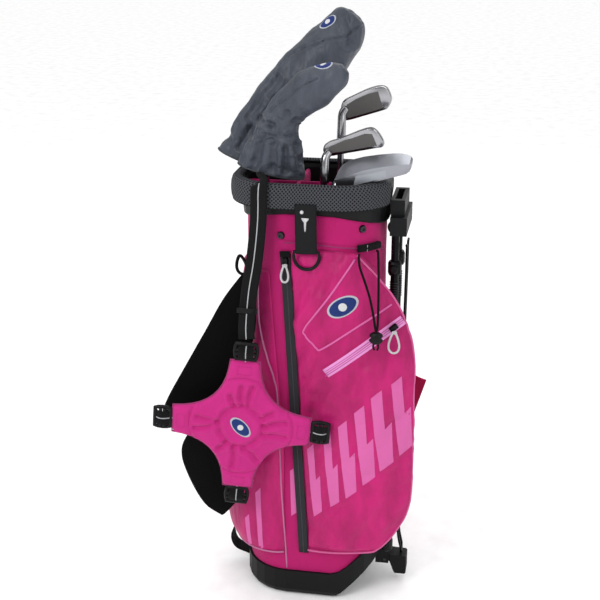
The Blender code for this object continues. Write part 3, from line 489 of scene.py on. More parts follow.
def nylon(name, colour, lean, depth, roughness=0.45, spread=0.22):
    """Thin satin nylon with soft creases that run along lean, and painted sheen and shade: its colour is
    lighter and darker in bands over the same creases.
    """
    look = Look(name, roughness, sheen=0.03, gloss=0.22)
    folds = look.noise(26, 3, (1, 1, 0.28), lean)
    fine = look.noise(90, 3, (1, 1, 0.45), lean)
    # painted light: the crease noise, with its contrast stretched, lightens and darkens the colour in bands,
    # a painted sheen and shade that follows the folds
    light = look.maths("ADD", look.maths("MULTIPLY", folds, 2.4), look.maths("MULTIPLY", fine, 1.2))
    look.colour(*shades(colour, spread), look.maths("SUBTRACT", light, 1.3))
    look.bump(folds, depth)
    look.bump(fine, depth * 0.30)
    look.bump(look.noise(420, 2), 0.00012)
    return look.material


def spacer_mesh(name, thread, hole, pitch=0.0046):
    """Spacer mesh: a diamond net over a darker ground."""
    look = Look(name, 0.85, sheen=0.03, gloss=0.15)
    z = look.axes()[2]
    across = look.around(0.092)
    rising = look.waves(look.maths("ADD", across, z), pitch)
    falling = look.waves(look.maths("SUBTRACT", across, z), pitch)
    net = look.maths("SMOOTH_MAX", rising, falling, 0.3)
    look.colour(hole, thread, look.maths("MULTIPLY", look.maths("ADD", net, 0.30), 0.9))
    look.bump(net, 0.00060)
    return look.material


def webbing(name, colour, pitch=0.0016, spread=0.35):
    """Ribbed narrow webbing."""
    look = Look(name, 0.82, sheen=0.03, gloss=0.12)
    x, y, z = look.axes()
    ribs = look.waves(look.maths("ADD", look.maths("ADD", x, y), z), pitch)
    cross = look.waves(look.maths("SUBTRACT", look.maths("ADD", x, y), z), pitch)
    twill = look.maths("MULTIPLY", ribs, cross)
    look.colour(*shades(colour, spread), look.maths("MULTIPLY", look.maths("ADD", twill, 1.0), 0.5))
    look.bump(twill, 0.00022)
    return look.material


def plastic(name, colour, roughness=0.45, grain=0.00010, scale=900):
    """Moulded plastic with a fine spark-eroded grain and slight handling wear."""
    look = Look(name, roughness, gloss=0.16)
    wear = look.noise(24, 5)
    look.colour(*shades(colour, 0.14), wear)
    look.rough(roughness - 0.08, roughness + 0.10, wear)
    look.bump(look.noise(scale, 2), grain)
    return look.material


def metal(name, colour, roughness, stretch=(1, 1, 14), spread=0.08):
    """Steel with fine brushed lines."""
    look = Look(name, roughness, metallic=1.0)
    lines = look.noise(500, 2, stretch)
    look.colour(*shades(colour, spread), look.noise(60, 3))
    look.rough(roughness * 0.75, roughness * 1.3, lines)
    look.bump(lines, 0.00003)
    return look.material


def braid(name, colour, pitch=0.0012):
    """Braided cord."""
    look = Look(name, 0.7, sheen=0.02, gloss=0.12)
    x, y, z = look.axes()
    flat = look.maths("ADD", x, y)
    left = look.waves(look.maths("ADD", flat, z), pitch)
    right = look.waves(look.maths("SUBTRACT", flat, z), pitch)
    plait = look.maths("MULTIPLY", left, right)
    look.colour(*shades(colour, 0.12), look.maths("MULTIPLY", look.maths("ADD", plait, 1.0), 0.5))
    look.bump(plait, 0.0002)
    return look.material


MAGENTA = linear(206, 30, 118)
LOOKS = {
    "body": fabric("body_fabric", MAGENTA, wrap=0.085),
    # the pocket's colour carries painted sheen streaks and shade in diagonal bands, from the nylon look with
    # spread 0.22
    "pocket": nylon("pocket_fabric", linear(200, 26, 114), math.radians(-24), 0.0060, 0.5, 0.22),
    "pad": fabric("pad_fabric", linear(218, 46, 142), pitch=0.0014, sheen=0.10),
    "print": fabric("printed_stripe", linear(244, 116, 190), spread=0.05),
    "piping": fabric("piping_cord", linear(232, 108, 168), pitch=0.0016),
    "pale_piping": fabric("pale_piping_cord", linear(214, 130, 176), pitch=0.0016),
    "edge": fabric("binding", linear(170, 60, 118), pitch=0.0016),
    # painted light: the tape's colour is lifted past white (285) to offset the shade the pocket throws on it,
    # above its own pale pink
    "short_tape": webbing("light_pink_tape", linear(285, 188, 262), 0.0014, 0.06),
    "short_line": webbing("light_pink_coil", linear(236, 112, 190), 0.0010, 0.08),
    "leg_strap": webbing("strap_webbing_pink", linear(196, 24, 84), 0.0020, 0.12),
    "base": plastic("base_plastic_black", linear(17, 18, 19), 0.52),
    "collar": plastic("collar_plastic_black", linear(20, 21, 23), 0.50),
    "mesh": spacer_mesh("collar_mesh", linear(86, 88, 94), linear(11, 11, 12)),
    "tab": fabric("tab_vinyl_black", linear(22, 23, 25), pitch=0.0016, sheen=0.0, roughness=0.6),
    "webbing": webbing("webbing_black", linear(20, 20, 22)),
    "strap_pad": fabric("strap_foam_cover", linear(5, 5, 6), pitch=0.0018, sheen=0.0, gloss=0.06),
    "reflective": webbing("reflective_thread", linear(214, 216, 220), 0.0012, 0.06),
    "acetal": plastic("acetal_black", linear(17, 17, 19), 0.38, 0.00005),
    "cord": braid("elastic_braid", linear(10, 9, 12)),
    "pull": braid("pull_braid", linear(236, 234, 238), 0.0014),
    "grip": plastic("grip_rubber_black", linear(32, 32, 33), 0.75, 0.00030, 1500),
    "leg": metal("leg_paint_black", linear(34, 34, 36), 0.38),
    "rod": plastic("stay_fibre", linear(222, 216, 200), 0.5),
    "screw": metal("screw_dark", linear(70, 70, 74), 0.35),
    "chrome": metal("polished_head_steel", linear(186, 186, 190), 0.20, (14, 1, 1)),
    "face": plastic("blasted_steel", linear(106, 104, 103), 0.5, 0.00006),
    "satin": metal("satin_head_steel", linear(176, 178, 186), 0.38, (1, 14, 1)),
    "patch": plastic("milled_patch", linear(176, 180, 188), 0.45, 0.00004),
    "head": plastic("head_lacquer_black", linear(30, 30, 33), 0.25, 0.00002),
    # the covers' colour carries painted light and dark bands over their creases, from the nylon look
    "cover": nylon("cover_cloth", linear(78, 83, 94), math.radians(38), 0.0085, 0.42, 0.24),
    "hem": fabric("cover_binding", linear(70, 74, 80), pitch=0.0010, sheen=0.08, roughness=0.65),
    "tape": webbing("zip_tape_charcoal", linear(62, 62, 67), 0.0011, 0.12),
    "tape_edge": webbing("zip_tape_edge", linear(92, 92, 99), 0.0010, 0.10),
    "slider": metal("zip_slider_black", linear(40, 40, 42), 0.35),
    "navy": fabric("badge_navy", linear(38, 60, 128), pitch=0.0009, sheen=0.1, spread=0.06),
    "badge_rim": fabric("badge_rim", linear(208, 212, 222), pitch=0.0009, spread=0.05),
    "ball": fabric("badge_ball", linear(240, 240, 242), pitch=0.0009, spread=0.04),
    "thread": fabric("stitch_thread", linear(176, 30, 104), pitch=0.0012),
}
CAD_LOOKS = {
    "base": ("base_cup", "base_rocker"),
    "collar": ("collar_frame", "leg_bracket"),
    "rod": ("stay_rod_left", "stay_rod_right"),
    "screw": ("collar_screw_left", "collar_screw_right", "leg_pin_left", "leg_pin_right", "rocker_pin"),
    "leg": ("leg_left", "leg_right", "actuator_rod"),
    "acetal": ("leg_foot_left", "leg_foot_right"),
    "slider": ("long_zip_slider", "short_zip_slider"),
    "grip": ("driver_grip", "hybrid_grip", "iron_grip", "wedge_grip", "putter_grip"),
    "chrome": ("driver_shaft", "hybrid_shaft", "iron_shaft", "wedge_shaft", "putter_shaft"),
    "head": ("driver_head", "hybrid_head"),
}


def finish_cad_nodes():
    for look, names in CAD_LOOKS.items():
        for name in names:
            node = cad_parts[name]
            node.data.materials.clear()
            node.data.materials.append(LOOKS[look])


def settle(piece, body, slot, *nodes):
    """Fastens a piece to a body and hides the CAD nodes that it stands for; slot is not used."""
    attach(piece, body)
    if nodes:
        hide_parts(*nodes)
    return piece


# ---------------------------------------------------------------- towel cord

CORD_RADIUS = 0.0015
CORD_ROUTE = (
    (0.0605, -0.0640, 0.4797), (0.0607, -0.0705, 0.4794), (0.0618, -0.0762, 0.4755),
    (0.0640, -0.0812, 0.4680), (0.0700, -0.0868, 0.4550),
    (0.0770, -0.0893, 0.4350), (0.0815, -0.0900, 0.4150), (0.0840, -0.0895, 0.3990),
    (0.0855, -0.0890, 0.3935), (0.0870, -0.0885, 0.3990), (0.0872, -0.0870, 0.4150),
    (0.0868, -0.0840, 0.4350), (0.0858, -0.0780, 0.4550), (0.0838, -0.0650, 0.4720),
    (0.0815, -0.0500, 0.4790), (0.0795, -0.0440, 0.4797),
)


def build_cord(lock):
    points = route(CORD_ROUTE, 3)
    curve = bpy.data.curves.new("towel_cord", "CURVE")
    curve.dimensions = "3D"
    curve.bevel_depth = CORD_RADIUS
    curve.bevel_resolution = 3
    curve.use_fill_caps = True
    spline = curve.splines.new("POLY")
    spline.points.add(len(points) - 1)
    for slot, point in zip(spline.points, points):
        slot.co = (*point, 1.0)
    curve.materials.append(LOOKS["cord"])
    made = bpy.data.objects.new("towel_cord", curve)
    bpy.context.scene.collection.objects.link(made)
    settle(made, "bag", "elastic_cord", "elastic_cord")
    length = sum((b - a).length for a, b in zip(points, points[1:]))
    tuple(CORD_ROUTE[0])


# ---------------------------------------------------------------- the bag's shape

GAP = 0.0003
SLEEVE_TOP = (0.171, 0.132)
SLEEVE_BOTTOM = (0.174, 0.130)
SLEEVE_CORNER = 0.058
SLEEVE_TOP_Z = 0.530
COLLAR_SIZE = (0.193, 0.150, 0.062)
COLLAR_SHIFT = -0.004
BRACKET_GAP = 0.080
WALL_GAP = 0.0004
POCKET_FOOT_Z = 0.0745
POCKET_HEAD_Z = 0.4835
ZIP_TOP = (-0.0285, 0.474)
ZIP_BOTTOM = (-0.0060, 0.074)
ZIP_HALF = 0.0065


def blend(a, b, share):
    return a + (b - a) * share


def spread(a, b, steps):
    return [blend(a, b, k / steps) for k in range(steps + 1)]


def soft_step(low, high, value):
    share = min(max((value - low) / (high - low), 0.0), 1.0)
    return share * share * (3 - 2 * share)


def rim(size, s, z, out=0.0, shift=0.0):
    """A point at distance s round a rounded rectangle, from the middle of its front towards +X."""
    width, depth, corner = size
    flat, side, arc = width / 2 - corner, depth / 2 - corner, corner * math.pi / 2
    sign = 1 if s >= 0 else -1
    s = abs(s)
    if s <= flat:
        point, normal = (s, -depth / 2), (0.0, -1.0)
    elif s <= flat + arc:
        turn = (s - flat) / corner
        normal = (math.sin(turn), -math.cos(turn))
        point = (flat + corner * normal[0], corner * normal[1] - side)
    elif s <= flat + arc + 2 * side:
        point, normal = (width / 2, s - flat - arc - side), (1.0, 0.0)
    elif s <= flat + 2 * arc + 2 * side:
        turn = (s - flat - arc - 2 * side) / corner
        normal = (math.cos(turn), math.sin(turn))
        point = (flat + corner * normal[0], side + corner * normal[1])
    else:
        point, normal = (2 * flat + 2 * arc + 2 * side - s, depth / 2), (0.0, 1.0)
    return Vector((sign * (point[0] + out * normal[0]) + shift, point[1] + out * normal[1], z))


def half_round(size):
    width, depth, corner = size
    return width + depth - (4 - math.pi) * corner


def sleeve_at(s, z, out=0.0):
    share = z / SLEEVE_TOP_Z
    width, depth = (blend(low, high, share) for low, high in zip(SLEEVE_BOTTOM, SLEEVE_TOP))
    return rim((width, depth, SLEEVE_CORNER), s, z, out)


def sleeve_front(z):
    return -blend(SLEEVE_BOTTOM[1], SLEEVE_TOP[1], z / SLEEVE_TOP_Z) / 2


def zip_x(z):
    share = (z - ZIP_BOTTOM[1]) / (ZIP_TOP[1] - ZIP_BOTTOM[1])
    return blend(ZIP_BOTTOM[0], ZIP_TOP[0], share)


def table_at(table, z):
    """Values at a height in a list of vectors that start with their height."""
    for low, high in zip(table, table[1:]):
        if z <= high[0]:
            return low.lerp(high, max(0.0, (z - low[0]) / (high[0] - low[0])))
    return table[-1]


# Height, then X and Y of the pocket's outer front corner, then the front panel's bulge.
POCKET_EDGE = route((
    (0.076, 0.086, -0.068, 0.004), (0.088, 0.100, -0.066, 0.008), (0.110, 0.117, -0.062, 0.012),
    (0.140, 0.130, -0.059, 0.015), (0.190, 0.134, -0.057, 0.017), (0.290, 0.133, -0.057, 0.017),
    (0.350, 0.131, -0.057, 0.015), (0.385, 0.124, -0.059, 0.013), (0.420, 0.109, -0.063, 0.010),
    (0.450, 0.088, -0.067, 0.006), (0.477, 0.063, -0.070, 0.003), (0.4835, 0.0560, -0.0680, 0.0015),
), 6)


def pocket_y(x, z):
    """Y of the apparel pocket's front panel."""
    _, corner_x, corner_y, bulge = table_at(POCKET_EDGE, z)
    left = zip_x(z) + ZIP_HALF + 2 * GAP
    share = min(max((x - left) / (corner_x - left), 0.0), 1.0)
    near_zip = sleeve_front(z) - blend(0.0045, 0.0012, soft_step(0.465, POCKET_HEAD_Z, z))
    return blend(near_zip, corner_y, share) - bulge * math.sin(math.pi * share ** 0.8)


def drape(piece, height, lean, wide=26, long=6, seed=0.0, mask=None):
    """Soft diagonal folds on a panel that hangs in X and Z. lean is the folds' angle from upright."""
    across = np.array((math.cos(lean), 0.0, -math.sin(lean))) * wide
    along = np.array((math.sin(lean), 0.0, math.cos(lean))) * long
    return ripple(piece, height, across, along, seed, mask)


def build_sleeve():
    size = (*SLEEVE_TOP, SLEEVE_CORNER)
    half = half_round(size)
    around = [blend(-half, half, k / 140) for k in range(140)]

    def low_edge(x):
        return 0.010 + max(0.0, (x - 0.030) * 0.90)

    rings = []
    for share, out in [(k / 70, 0.0) for k in range(71)] + [(1 - k / 8, -0.003) for k in range(9)]:
        ring = []
        for s in around:
            low = low_edge(sleeve_at(s, 0.0).x)
            ring.append(sleeve_at(s, blend(low, SLEEVE_TOP_Z - 0.0003, share), out))
        rings.append(ring)
    sleeve = mesh_piece("bag_fabric", skin(rings, loop=True), LOOKS["body"])

    def mask(points):
        return np.clip((points[:, 2] - 0.075) / 0.05, 0, 1) * np.clip((0.500 - points[:, 2]) / 0.05, 0, 1)

    drape(sleeve, 0.0014, math.radians(8), 34, 7, 2.0, mask)
    return settle(sleeve, "bag", "pink_polyester", "body_sleeve")


def build_band(sleeve):
    """The seam of the plain band under the collar, with a row of stitches."""
    tree = tree_of(sleeve)
    line = route(((-0.0300, 0, 0.4905), (-0.0192, 0, 0.4906), (0.0195, 0, 0.4890), (0.0559, 0, 0.4849),
                  (0.0867, 0.030, 0.4736)), 8)
    points = []
    for point in line:
        share = soft_step(0.03, 0.09, point.x)
        toward = Vector((-share, 1 - share * 0.8, 0)).normalized()
        points.append(drop_on(tree, Vector((point.x, -0.07 + 0.05 * share, point.z)), toward, 0.0002))
    seam = tube("band_seam", points, 0.0009, LOOKS["edge"])
    settle(seam, "bag", "pink_polyester")
    above = [point + Vector((0, -0.0002, 0.0030)) for point in points]
    row = stitches("band_stitches", above, LOOKS["thread"])
    settle(row, "bag", "pink_polyester")


def stitches(name, points, look, pitch=0.0032, length=0.0022, radius=0.00032):
    """A row of short thread dashes along points."""
    dense = []
    for a, b in zip(points, points[1:]):
        dense += [a.lerp(b, k / 12) for k in range(12)]
    dense.append(points[-1])
    bm = bmesh.new()
    travelled, next_dash = 0.0, 0.0
    for a, b in zip(dense, dense[1:]):
        travelled += (b - a).length
        if travelled < next_dash or (b - a).length == 0:
            continue
        next_dash = travelled + pitch
        front, side = frame_along(b - a, FRONT)
        ahead = (b - a).normalized()
        rings = []
        for along, size in ((0.0, 0.4), (0.2, 1.0), (0.8, 1.0), (1.0, 0.4)):
            centre = a + ahead * (length * along)
            rings.append([centre + (side * i + front * j) * (radius * size)
                          for i, j in ((1, 0), (0, 1), (-1, 0), (0, -1))])
        rows = [[bm.verts.new(point) for point in ring] for ring in rings]
        quads(bm, rows)
        bm.faces.new(rows[0])
        bm.faces.new(rows[-1])
    return mesh_piece(name, bm, look)


# Creases in the front panel, as X and Z.
POCKET_CREASES = (
    ((-0.0005, 0.4532), (-0.0106, 0.4272), (-0.0209, 0.4008)),
    ((0.0354, 0.4780), (0.0236, 0.4630), (0.0137, 0.4372)),
    ((-0.0004, 0.3935), (-0.0086, 0.3668), (-0.0161, 0.3398)),
    ((0.0204, 0.3125), (0.0081, 0.2848), (-0.0010, 0.2523)),
    ((0.0695, 0.3420), (0.0560, 0.3130)),
)
FINE_CREASES = (
    ((0.0235, 0.4720), (0.0076, 0.4495), (-0.0065, 0.4147)),
    ((0.0100, 0.3560), (0.0020, 0.3250), (-0.0080, 0.2980)),
    ((0.0533, 0.3350), (0.0433, 0.3140), (0.0323, 0.2980)),
    ((-0.0060, 0.3180), (-0.0110, 0.2951), (-0.0125, 0.2721)),
    ((-0.0120, 0.4650), (-0.0190, 0.4400)),
)


def grid_places(rings):
    """The column and the row of each corner of a mesh skinned over rings."""
    width = len(rings[0])
    index = np.arange(width * len(rings))
    return index % width, index // width


def build_apparel_pocket():
    across = 34
    rings = []
    for z in spread(POCKET_FOOT_Z, POCKET_HEAD_Z, 84):
        _, corner_x, corner_y, _ = table_at(POCKET_EDGE, z)
        left = zip_x(z) + ZIP_HALF + 2 * GAP
        front = [Vector((x, pocket_y(x, z), z)) for x in spread(left, corner_x, across)]
        flat = SLEEVE_TOP[0] / 2 - SLEEVE_CORNER
        turn = math.asin(min((corner_x - flat) * 0.93 / SLEEVE_CORNER, 0.80))
        reach = flat + SLEEVE_CORNER * turn
        back = [sleeve_at(s, z, WALL_GAP) for s in spread(reach, left, 12)]
        bow = Vector((0.004, -0.001, 0))
        side = [front[-1].lerp(back[0], k / 6) + bow * math.sin(math.pi * k / 6) for k in range(1, 6)]
        rings.append([*front, *side, *back])
    pocket = mesh_piece("pocket_fabric", skin(rings), LOOKS["pocket"])
    columns, rows = grid_places(rings)
    fixed = (columns > across + 5) | (columns == 0) | (columns == across)
    fixed |= (rows == 0) | (rows == len(rings) - 1)
    zip_line = [short_zip_at(share, 0.0) for share in spread(0, 1, 8)]
    inflate(pocket, 3.0, 0.0045, 0.015, lambda start: fixed | (line_distance(start, zip_line) < 0.014))

    def mask(points):
        edge = np.clip((points[:, 2] - 0.076) / 0.03, 0, 1) * np.clip((0.480 - points[:, 2]) / 0.02, 0, 1)
        flat = np.clip((line_distance(points, zip_line) - 0.012) / 0.025, 0, 1)
        return edge * flat * (points[:, 1] < -0.058)

    drape(pocket, 0.0040, math.radians(24), 30, 5, 5.0, mask)
    drape(pocket, 0.0016, math.radians(30), 70, 10, 9.0, mask)
    subdivide(pocket)
    for depth, width, creases in ((0.0024, 0.0065, POCKET_CREASES), (0.0012, 0.0030, FINE_CREASES)):
        lines = [[Vector((x, 0, z)) for x, z in crease] for crease in creases]
        press(pocket, lines, depth, width, 0.5, FRONT)
    return settle(pocket, "bag", "pink_polyester", "apparel_pocket")


SIDE_POCKET = route((
    (0.060, 0.009, 0), (0.070, 0.020, 0), (0.092, 0.029, 0), (0.135, 0.032, 0), (0.190, 0.027, 0),
    (0.250, 0.019, 0), (0.320, 0.010, 0), (0.400, 0.005, 0), (0.455, 0.0035, 0),
), 6)


def side_pocket_at(share, z, lift=None):
    """A point of the side pocket, from its front edge to its back one, or of the wall behind it."""
    depth = table_at(SIDE_POCKET, z)[1]
    front_s = blend(-0.031, -0.050, max(0.0, (z - 0.22) / 0.24))
    out = WALL_GAP if lift is None else 0.0015 + depth * math.sin(math.pi * share) ** 0.7 + lift
    return sleeve_at(blend(front_s, -0.215, share), z, out)


def build_side_pocket():
    rings = []
    steps = 44
    for z in spread(0.060, 0.455, 78):
        outer = [side_pocket_at(share, z, 0.0) for share in spread(0, 1, steps)]
        inner = [side_pocket_at(share, z) for share in spread(1, 0, steps)]
        rings.append([*outer, *inner])
    pocket = mesh_piece("side_pocket_fabric", skin(rings), LOOKS["pocket"])
    columns, rows = grid_places(rings)
    fixed = (columns > steps) | (columns == 0) | (columns == steps) | (rows == 0) | (rows == len(rings) - 1)
    inflate(pocket, 2.5, 0.004, 0.012, lambda start: fixed)

    def mask(points):
        reach = np.hypot(points[:, 0] / 0.090, points[:, 1] / 0.070)
        return np.clip((reach - 1.0) / 0.12, 0, 1) * np.clip((points[:, 2] - 0.062) / 0.03, 0, 1)

    ripple(pocket, 0.0034, np.array((20.0, 20.0, 6.0)), np.array((0.0, 0.0, 5.0)), 3.0, mask)
    subdivide(pocket)
    return settle(pocket, "bag", "pink_polyester", "side_pocket")


# ---------------------------------------------------------------- trim of the front


def piping(name, points, radius, look, body="bag"):
    return settle(tube(name, points, radius, look), body, "pink_polyester")


def build_pocket_trim(pocket):
    tree = tree_of(pocket)
    edge = []
    for z in spread(0.078, 0.4800, 60):
        _, corner_x, corner_y, _ = table_at(POCKET_EDGE, z)
        edge.append(drop_on(tree, (corner_x - 0.0012, corner_y, z), Vector((-0.62, 0.78, 0)), 0.0004))
    bottom = []
    for share in spread(1.0, 0.0, 18):
        x = blend(zip_x(POCKET_FOOT_Z) + ZIP_HALF, edge[0].x, share)
        bottom.append(Vector((x, pocket_y(x, 0.0765) - 0.0008, blend(0.0725, 0.0775, share ** 1.5))))
    piping("pocket_piping", [*reversed(edge), *bottom[1:]], 0.00125, LOOKS["piping"])

    outline = route(((0.0565, 0, 0.4760), (0.0290, 0, 0.4330), (-0.0029, 0, 0.3862), (-0.0022, 0, 0.3760),
                     (0.0060, 0, 0.3685), (0.0118, 0, 0.3622), (0.0190, 0, 0.3618), (0.0520, 0, 0.3860),
                     (0.0852, 0, 0.4093), (0.1010, 0, 0.4205)), 8)
    line = [on_front(tree, point.x, point.z, 0.0003) for point in outline]
    piping("valuables_outline", line, 0.0012, LOOKS["print"])

    for number, (x, top, bottom_z, wide) in enumerate((
        (0.0100, 0.2307, 0.1238, 0.74), (0.0325, 0.2538, 0.1437, 0.80), (0.0530, 0.2710, 0.1614, 0.90),
        (0.0742, 0.2919, 0.1811, 1.00), (0.0950, 0.3112, 0.2002, 1.08), (0.1180, 0.3282, 0.2192, 1.00),
    )):
        tall = top - bottom_z

        def at(across, down):
            return (x + across * 0.001 * wide, -0.1, top - down * tall)

        upper = (at(-8.3, 0.585), at(2.6, 0.474), at(-2.2, 0.0), at(-14.2, 0.094))
        lower = (at(-1.8, 1.0), at(13.2, 0.896), at(9.8, 0.40), at(-8.3, 0.585))
        for half, corners in (("upper", upper), ("lower", lower)):
            made = patch(f"bolt_{number + 1}_{half}", tree, corners, LOOKS["print"], 5, 12)
            settle(made, "bag", "light_pink_tape")
    badge("pocket_badge", tree, Vector((0.0436, -0.1, 0.4182)), 0.0205, 0.0120, math.radians(30))


def badge(name, tree, centre, half_long, half_short, turn, body="bag", toward=Vector((0, 1, 0)), lift=0.0006):
    """A plain oval badge with a pale rim and a white ball."""
    right = Vector((0, 0, 1)).cross(toward).normalized() * -1
    up = toward.cross(right).normalized()
    if up.z < 0:
        up = -up
    for part, scale, look, rise in (("rim", 1.0, "badge_rim", 0.0), ("field", 0.86, "navy", 0.0003),
                                    ("ball", 0.0, "ball", 0.0006)):
        bm = bmesh.new()
        rows = []
        for ring in range(6):
            row = []
            for k in range(40):
                angle = 2 * math.pi * k / 40
                if part == "ball":
                    a, b = (half_short * 0.45 * ring / 5,) * 2
                else:
                    a, b = half_long * scale * ring / 5, half_short * scale * ring / 5
                i, j = a * math.cos(angle), b * math.sin(angle)
                i, j = i * math.cos(turn) - j * math.sin(turn), i * math.sin(turn) + j * math.cos(turn)
                point = centre + right * i + up * j
                drop = 0.0004 if ring == 5 else 0.0
                row.append(bm.verts.new(drop_on(tree, point, toward, lift + rise - drop)))
                if ring == 0:
                    break
            rows.append(row)
        for k in range(40):
            bm.faces.new((rows[0][0], rows[1][k], rows[1][(k + 1) % 40]))
        quads(bm, rows[1:])
        settle(mesh_piece(f"{name}_{part}", bm, LOOKS[look]), body, "white_pull")


def build_left_trim(sleeve, side_pocket):
    tree, side_tree = tree_of(sleeve), tree_of(side_pocket)
    line = route(((-0.0638, 0, 0.4628), (-0.0634, 0, 0.3859), (-0.0523, 0, 0.3383), (-0.0443, 0, 0.3130),
                  (-0.0392, 0, 0.2810), (-0.0346, 0, 0.1549), (-0.0284, 0, 0.0400)), 10)
    both = (tree, side_tree)
    piping("seam_piping", [foremost(both, point.x, point.z, 0.0004) for point in line], 0.0011,
           LOOKS["pale_piping"])
    line = [side_pocket_at(share, 0.0655, 0.0016) for share in spread(0.005, 0.995, 60)]
    piping("side_bottom_piping", line, 0.0011, LOOKS["pale_piping"])
    for number, (x, top, low, wide) in enumerate((
        (-0.0640, 0.1610, 0.0640, 0.0050), (-0.0800, 0.1190, 0.0650, 0.0045),
        (-0.0735, 0.2020, 0.1850, 0.0040), (-0.0735, 0.1780, 0.1640, 0.0036),
    )):
        corners = ((x - wide * 0.2, 0, low), (x + wide, 0, low + 0.006), (x + wide * 0.6, 0, top),
                   (x - wide * 0.8, 0, top - 0.008))
        made = patch(f"side_stripe_{number + 1}", side_tree, corners, LOOKS["print"], 3, 12)
        settle(made, "bag", "light_pink_tape")
    for number, corners in enumerate((
        ((-0.0478, 0, 0.0700), (-0.0420, 0, 0.0730), (-0.0440, 0, 0.1670), (-0.0500, 0, 0.1620)),
        ((-0.0225, 0, 0.1180), (-0.0150, 0, 0.1240), (-0.0165, 0, 0.1900), (-0.0240, 0, 0.1840)),
    )):
        made = patch(f"front_stripe_{number + 1}", tree, corners, LOOKS["print"], 3, 16)
        settle(made, "bag", "light_pink_tape")


def build_long_zip():
    def line(shift, lift):
        return [Vector((zip_x(z) + shift, sleeve_front(z) - lift, z)) for z in spread(0.066, 0.4745, 24)]

    for side, shift in (("left", -0.0033), ("right", 0.0033)):
        flap = strap(f"long_zip_flap_{side}", line(shift, 0.0014), 0.0062, 0.0018, LOOKS["tape"])
        nodes = ("long_zip",) if side == "left" else ()
        settle(flap, "bag", "zip_tape", *nodes)
    coil = tube("long_zip_coil", line(0.0, 0.0019), 0.0006, LOOKS["tape_edge"])
    settle(coil, "bag", "zip_tape")
    stop = strap("long_zip_stop", [Vector((zip_x(z), sleeve_front(z) - 0.0026, z))
                                   for z in (0.4735, 0.4770, 0.4805)], 0.0130, 0.0020, LOOKS["webbing"])
    settle(stop, "bag", "zip_tape")


def short_zip_at(share, out):
    x, z = blend(0.0240, 0.1150, share), blend(0.3305, 0.4000, share)
    return Vector((x, pocket_y(x, z) - out, z))


def build_short_zip(pocket):
    tree = tree_of(pocket)
    track = [short_zip_at(share, 0.0) for share in spread(0, 1, 22)]
    base = [on_front(tree, point.x, point.z, 0.0008) for point in track]
    facing = Vector((0.15, -1, 0))
    settle(strap("short_zip_tape", base, 0.0125, 0.0016, LOOKS["short_tape"], facing), "bag",
           "light_pink_tape", "short_zip")
    for number, shift in enumerate((-0.0032, 0.0, 0.0032)):
        points = [point + Vector((0, -0.0007, shift)) for point in base]
        settle(tube(f"short_zip_line_{number + 1}", points, 0.00055, LOOKS["short_line"]), "bag",
               "light_pink_tape")


def teardrop(top, drop, half_wide, out=0.0):
    """A closed loop that hangs from a point, widest near its foot."""
    points = []
    for turn in turns(40):
        fall = (1 - math.cos(turn)) / 2
        wide = half_wide * math.sin(turn) * (0.35 + 0.65 * fall)
        points.append(top + Vector((wide, -out * fall, -drop * fall)))
    return points


def build_pulls():
    for name, slot_body, top, drop, half, body in (
        ("long_zip_loop", "long_zip_pull", Vector((-0.0281, -0.0737, 0.4650)), 0.0215, 0.0062,
         "long_pull_body"),
        ("short_zip_loop", "short_zip_pull", None, 0.0270, 0.0088, "short_pull_body"),
    ):
        if top is None:
            low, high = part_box("short_zip_pull")
            top = Vector(((low[0] + high[0]) / 2, low[1] + 0.0018, high[2] - 0.0011))
        loop = tube(name, teardrop(top, drop, half, 0.0015), 0.0013, LOOKS["pull"], loop=True, sides=10)
        settle(loop, body, "white_pull", slot_body)
        knot = [top + Vector((0.0022 * math.cos(t), 0.0016 * math.sin(t), -0.0012 + 0.0012 * math.sin(2 * t)))
                for t in turns(20)]
        settle(tube(name + "_knot", knot, 0.0011, LOOKS["pull"], loop=True), body, "white_pull")


def build_tab():
    """The glove tab folds over the towel ring's bar and is closed by a snap."""
    path = route(((-0.0020, -0.0785, 0.5425), (-0.0018, -0.0792, 0.5280), (-0.0015, -0.0789, 0.5050),
                  (-0.0012, -0.0790, 0.4890), (-0.0010, -0.0780, 0.4822)), 6)
    tab = strap("glove_tab_cloth", path, 0.0262, 0.0034, LOOKS["tab"], crown=0.0006)
    settle(tab, "bag", "tab_vinyl", "glove_tab")
    tree = tree_of(tab)
    rings = []
    for size, out in ((1.0, 0.0), (1.0, 0.0005), (0.75, 0.0011), (0.25, 0.0013)):
        rings.append([on_front(tree, -0.0060, 0.5335) + Vector((0.0022 * size * math.cos(a), -out,
                                                                0.0022 * size * math.sin(a)))
                      for a in turns(24)])
    settle(mesh_piece("tab_snap", skin(rings), LOOKS["ball"]), "bag", "white_pull")
    tee = [(-0.0044, 0.0), (0.0044, 0.0), (0.0040, -0.0020), (0.0014, -0.0052), (0.0009, -0.0150),
           (0.0, -0.0170), (-0.0009, -0.0150), (-0.0014, -0.0052), (-0.0040, -0.0020)]
    rings = [[on_front(tree, -0.0020 + x, 0.5265 + z, lift) for x, z in tee] for lift in (0.0001, 0.0006)]
    settle(mesh_piece("tab_tee", skin(rings), LOOKS["ball"]), "bag", "white_pull")
    middle, half, top, drop = -0.0010, 0.0155, 0.4835, 0.0215
    line = [Vector((middle + half * math.cos(a), -0.0775, top - 0.005 - (drop - 0.005) * math.sin(a)))
            for a in (math.pi * k / 24 for k in range(25))]
    line += [Vector((middle + half * share, -0.0775, top)) for share in (-0.97, -0.5, 0.0, 0.5, 0.97)]
    ring = tube("towel_ring_wire", line, 0.0021, LOOKS["acetal"], loop=True, sides=12)
    settle(ring, "ring_body", "black_acetal", "towel_ring")


